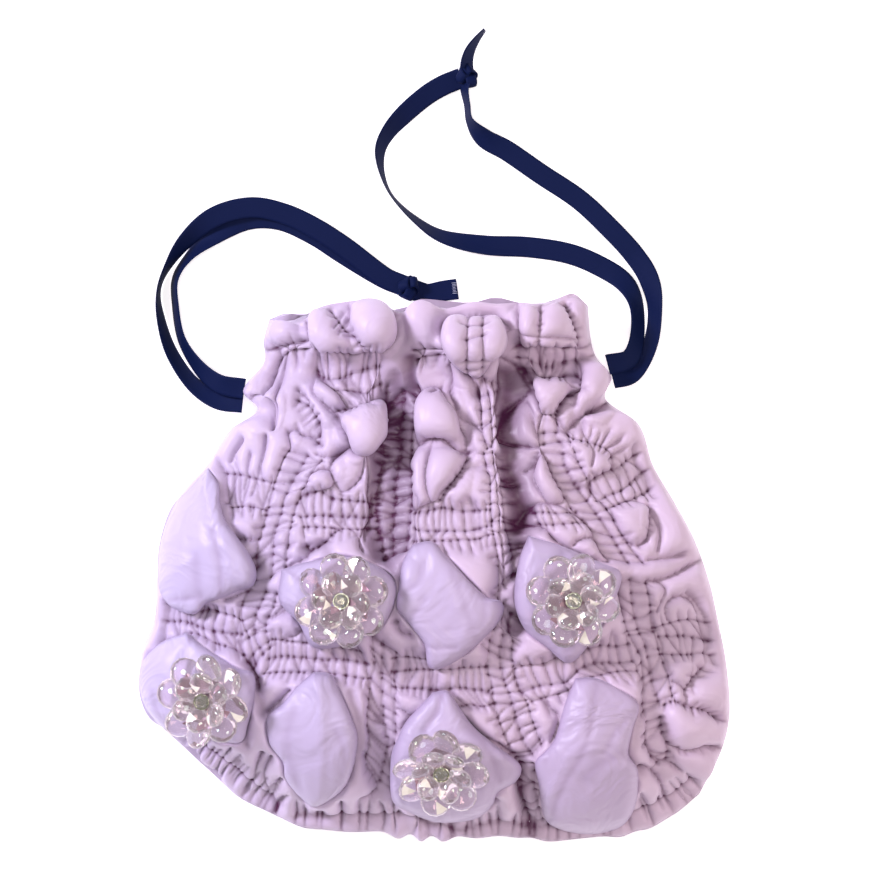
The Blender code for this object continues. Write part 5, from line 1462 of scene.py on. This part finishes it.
for number, (shareX, shareY, turn) in flower["places"].items():
    x, y = shareX * pouch["halfWidth"], shareY * pouch["halfLength"]
    reach = flower["reach"]
    leanX = float(baseAt(x + reach, y) - baseAt(x - reach, y)) / (2 * reach)
    leanY = float(baseAt(x, y + reach) - baseAt(x, y - reach)) / (2 * reach)
    up = Vector((-leanX, -leanY, 1)).normalized()
    seat = Matrix.Translation((x, y, float(baseAt(x, y)) + flower["rise"]))
    lean = up.to_track_quat("Z", "Y").to_matrix().to_4x4()
    seat = seat @ lean @ Matrix.Rotation(math.radians(turn), 4, "Z")
    for made, node in ((beadHead(number), "beads"), (centreStone(number), "stone")):
        made.data.transform(seat)
        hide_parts(f"flower_{number}_{node}")
        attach(made, "root")
print("stage: flowers")


# knots: the ribbon's own band folded over itself; frayed ends: a few pale threads
knot = {
    "left": (-12.3, 134.6, -20), "right": (15.5, 235.8, 15), "size": (3.6, 5.2, 2.2), "middle": 4.0,
    "halfWidth": 2.7, "halfThick": 0.6, "steps": 150, "ribDepth": 0.10,
    "threads": {"left": ((9.2, 134.3, 3.2), 8, 5.0, 95), "right": ((23.6, 258.0, 8.5), 4, 3.0, 60)},
}


def knotPiece(side):
    t = np.linspace(0, 2 * np.pi, knot["steps"], endpoint=False)
    sx, sy, sz = knot["size"]
    centre = np.stack([sx * (np.sin(t) + 2 * np.sin(2 * t)) / 3,
                       sy * (np.cos(t) - 2 * np.cos(2 * t)) / 3, -sz * np.sin(3 * t)], 1)
    ahead = np.roll(centre, -1, axis=0) - np.roll(centre, 1, axis=0)
    ahead /= np.linalg.norm(ahead, axis=1)[:, None]
    outward = centre * (0.6, 0.6, 1.6) + (0, 0, 0.6)
    thick = outward - ahead * (outward * ahead).sum(axis=1)[:, None]
    thick /= np.linalg.norm(thick, axis=1)[:, None]
    width = np.cross(thick, ahead)
    rib = np.arange(len(t)) % 2
    ring = [(-1, 0.5), (-0.6, 1), (0, 1.12), (0.6, 1), (1, 0.5), (1, -0.5), (0, -1), (-1, -0.5)]
    halfThick = knot["halfThick"] - rib * knot["ribDepth"]
    points = np.stack([centre + width * knot["halfWidth"] * a + thick * (b * halfThick)[:, None]
                       for a, b in ring], 1)
    x, y, turn = knot[side]
    turn = math.radians(turn)
    spin = np.array([[math.cos(turn), math.sin(turn), 0],
                     [-math.sin(turn), math.cos(turn), 0],
                     [0, 0, 1]])
    points = points.reshape(-1, 3) @ spin + (x, y, knot["middle"])
    count, steps = len(ring), len(t)
    faces = [(i * count + k, ((i + 1) % steps) * count + k, ((i + 1) % steps) * count + (k + 1) % count,
              i * count + (k + 1) % count)
             for i in range(steps) for k in range(count)]
    return meshPiece(f"knot_{side}_folded", points * mm, faces, grosgrain)


def frayPiece(side):
    (x, y, z), count, span, turn = knot["threads"][side]
    dice = np.random.default_rng(5)
    heading = np.array([math.cos(math.radians(turn)), math.sin(math.radians(turn)), 0])
    points, faces = [], []
    for k in range(count):
        at = np.array([x, y, z * 0.5]) + heading * (k / (count - 1) - 0.5) * span
        run = np.array([heading[1], -heading[0], 0]) * dice.uniform(0.8, 1.7)
        run += (0, 0, dice.uniform(-0.3, 0.6))
        for end in (at - run * 0.5, at + run):
            for corner in ((0.16, 0, 0), (0, 0.16, 0.1), (-0.12, 0, 0.16)):
                points.append(end + corner)
        a = 6 * k
        faces += [(a, a + 2, a + 1), (a + 3, a + 4, a + 5), (a, a + 1, a + 4, a + 3),
                  (a + 1, a + 2, a + 5, a + 4), (a + 2, a, a + 3, a + 5)]
    return meshPiece(f"frayed_{side}", np.array(points) * mm, faces, palethread)


palethread = principled("paleThread", Base_Color=(0.62, 0.66, 0.80, 1), Roughness=0.8)
knots = {}
for side in ("left", "right"):
    knots[side] = knotPiece(side)
    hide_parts("knot_" + side)
    fray = frayPiece(side)
    for piece in (knots[side], fray):
        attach(piece, "root")
    for strand in ("outer", "inner"):
        piece, path, length = bands[f"ribbon_{side}_{strand}"]
        print("ribbon", side, strand, "is", round(length / mm, 1), "mm long")
print("stage: knots")
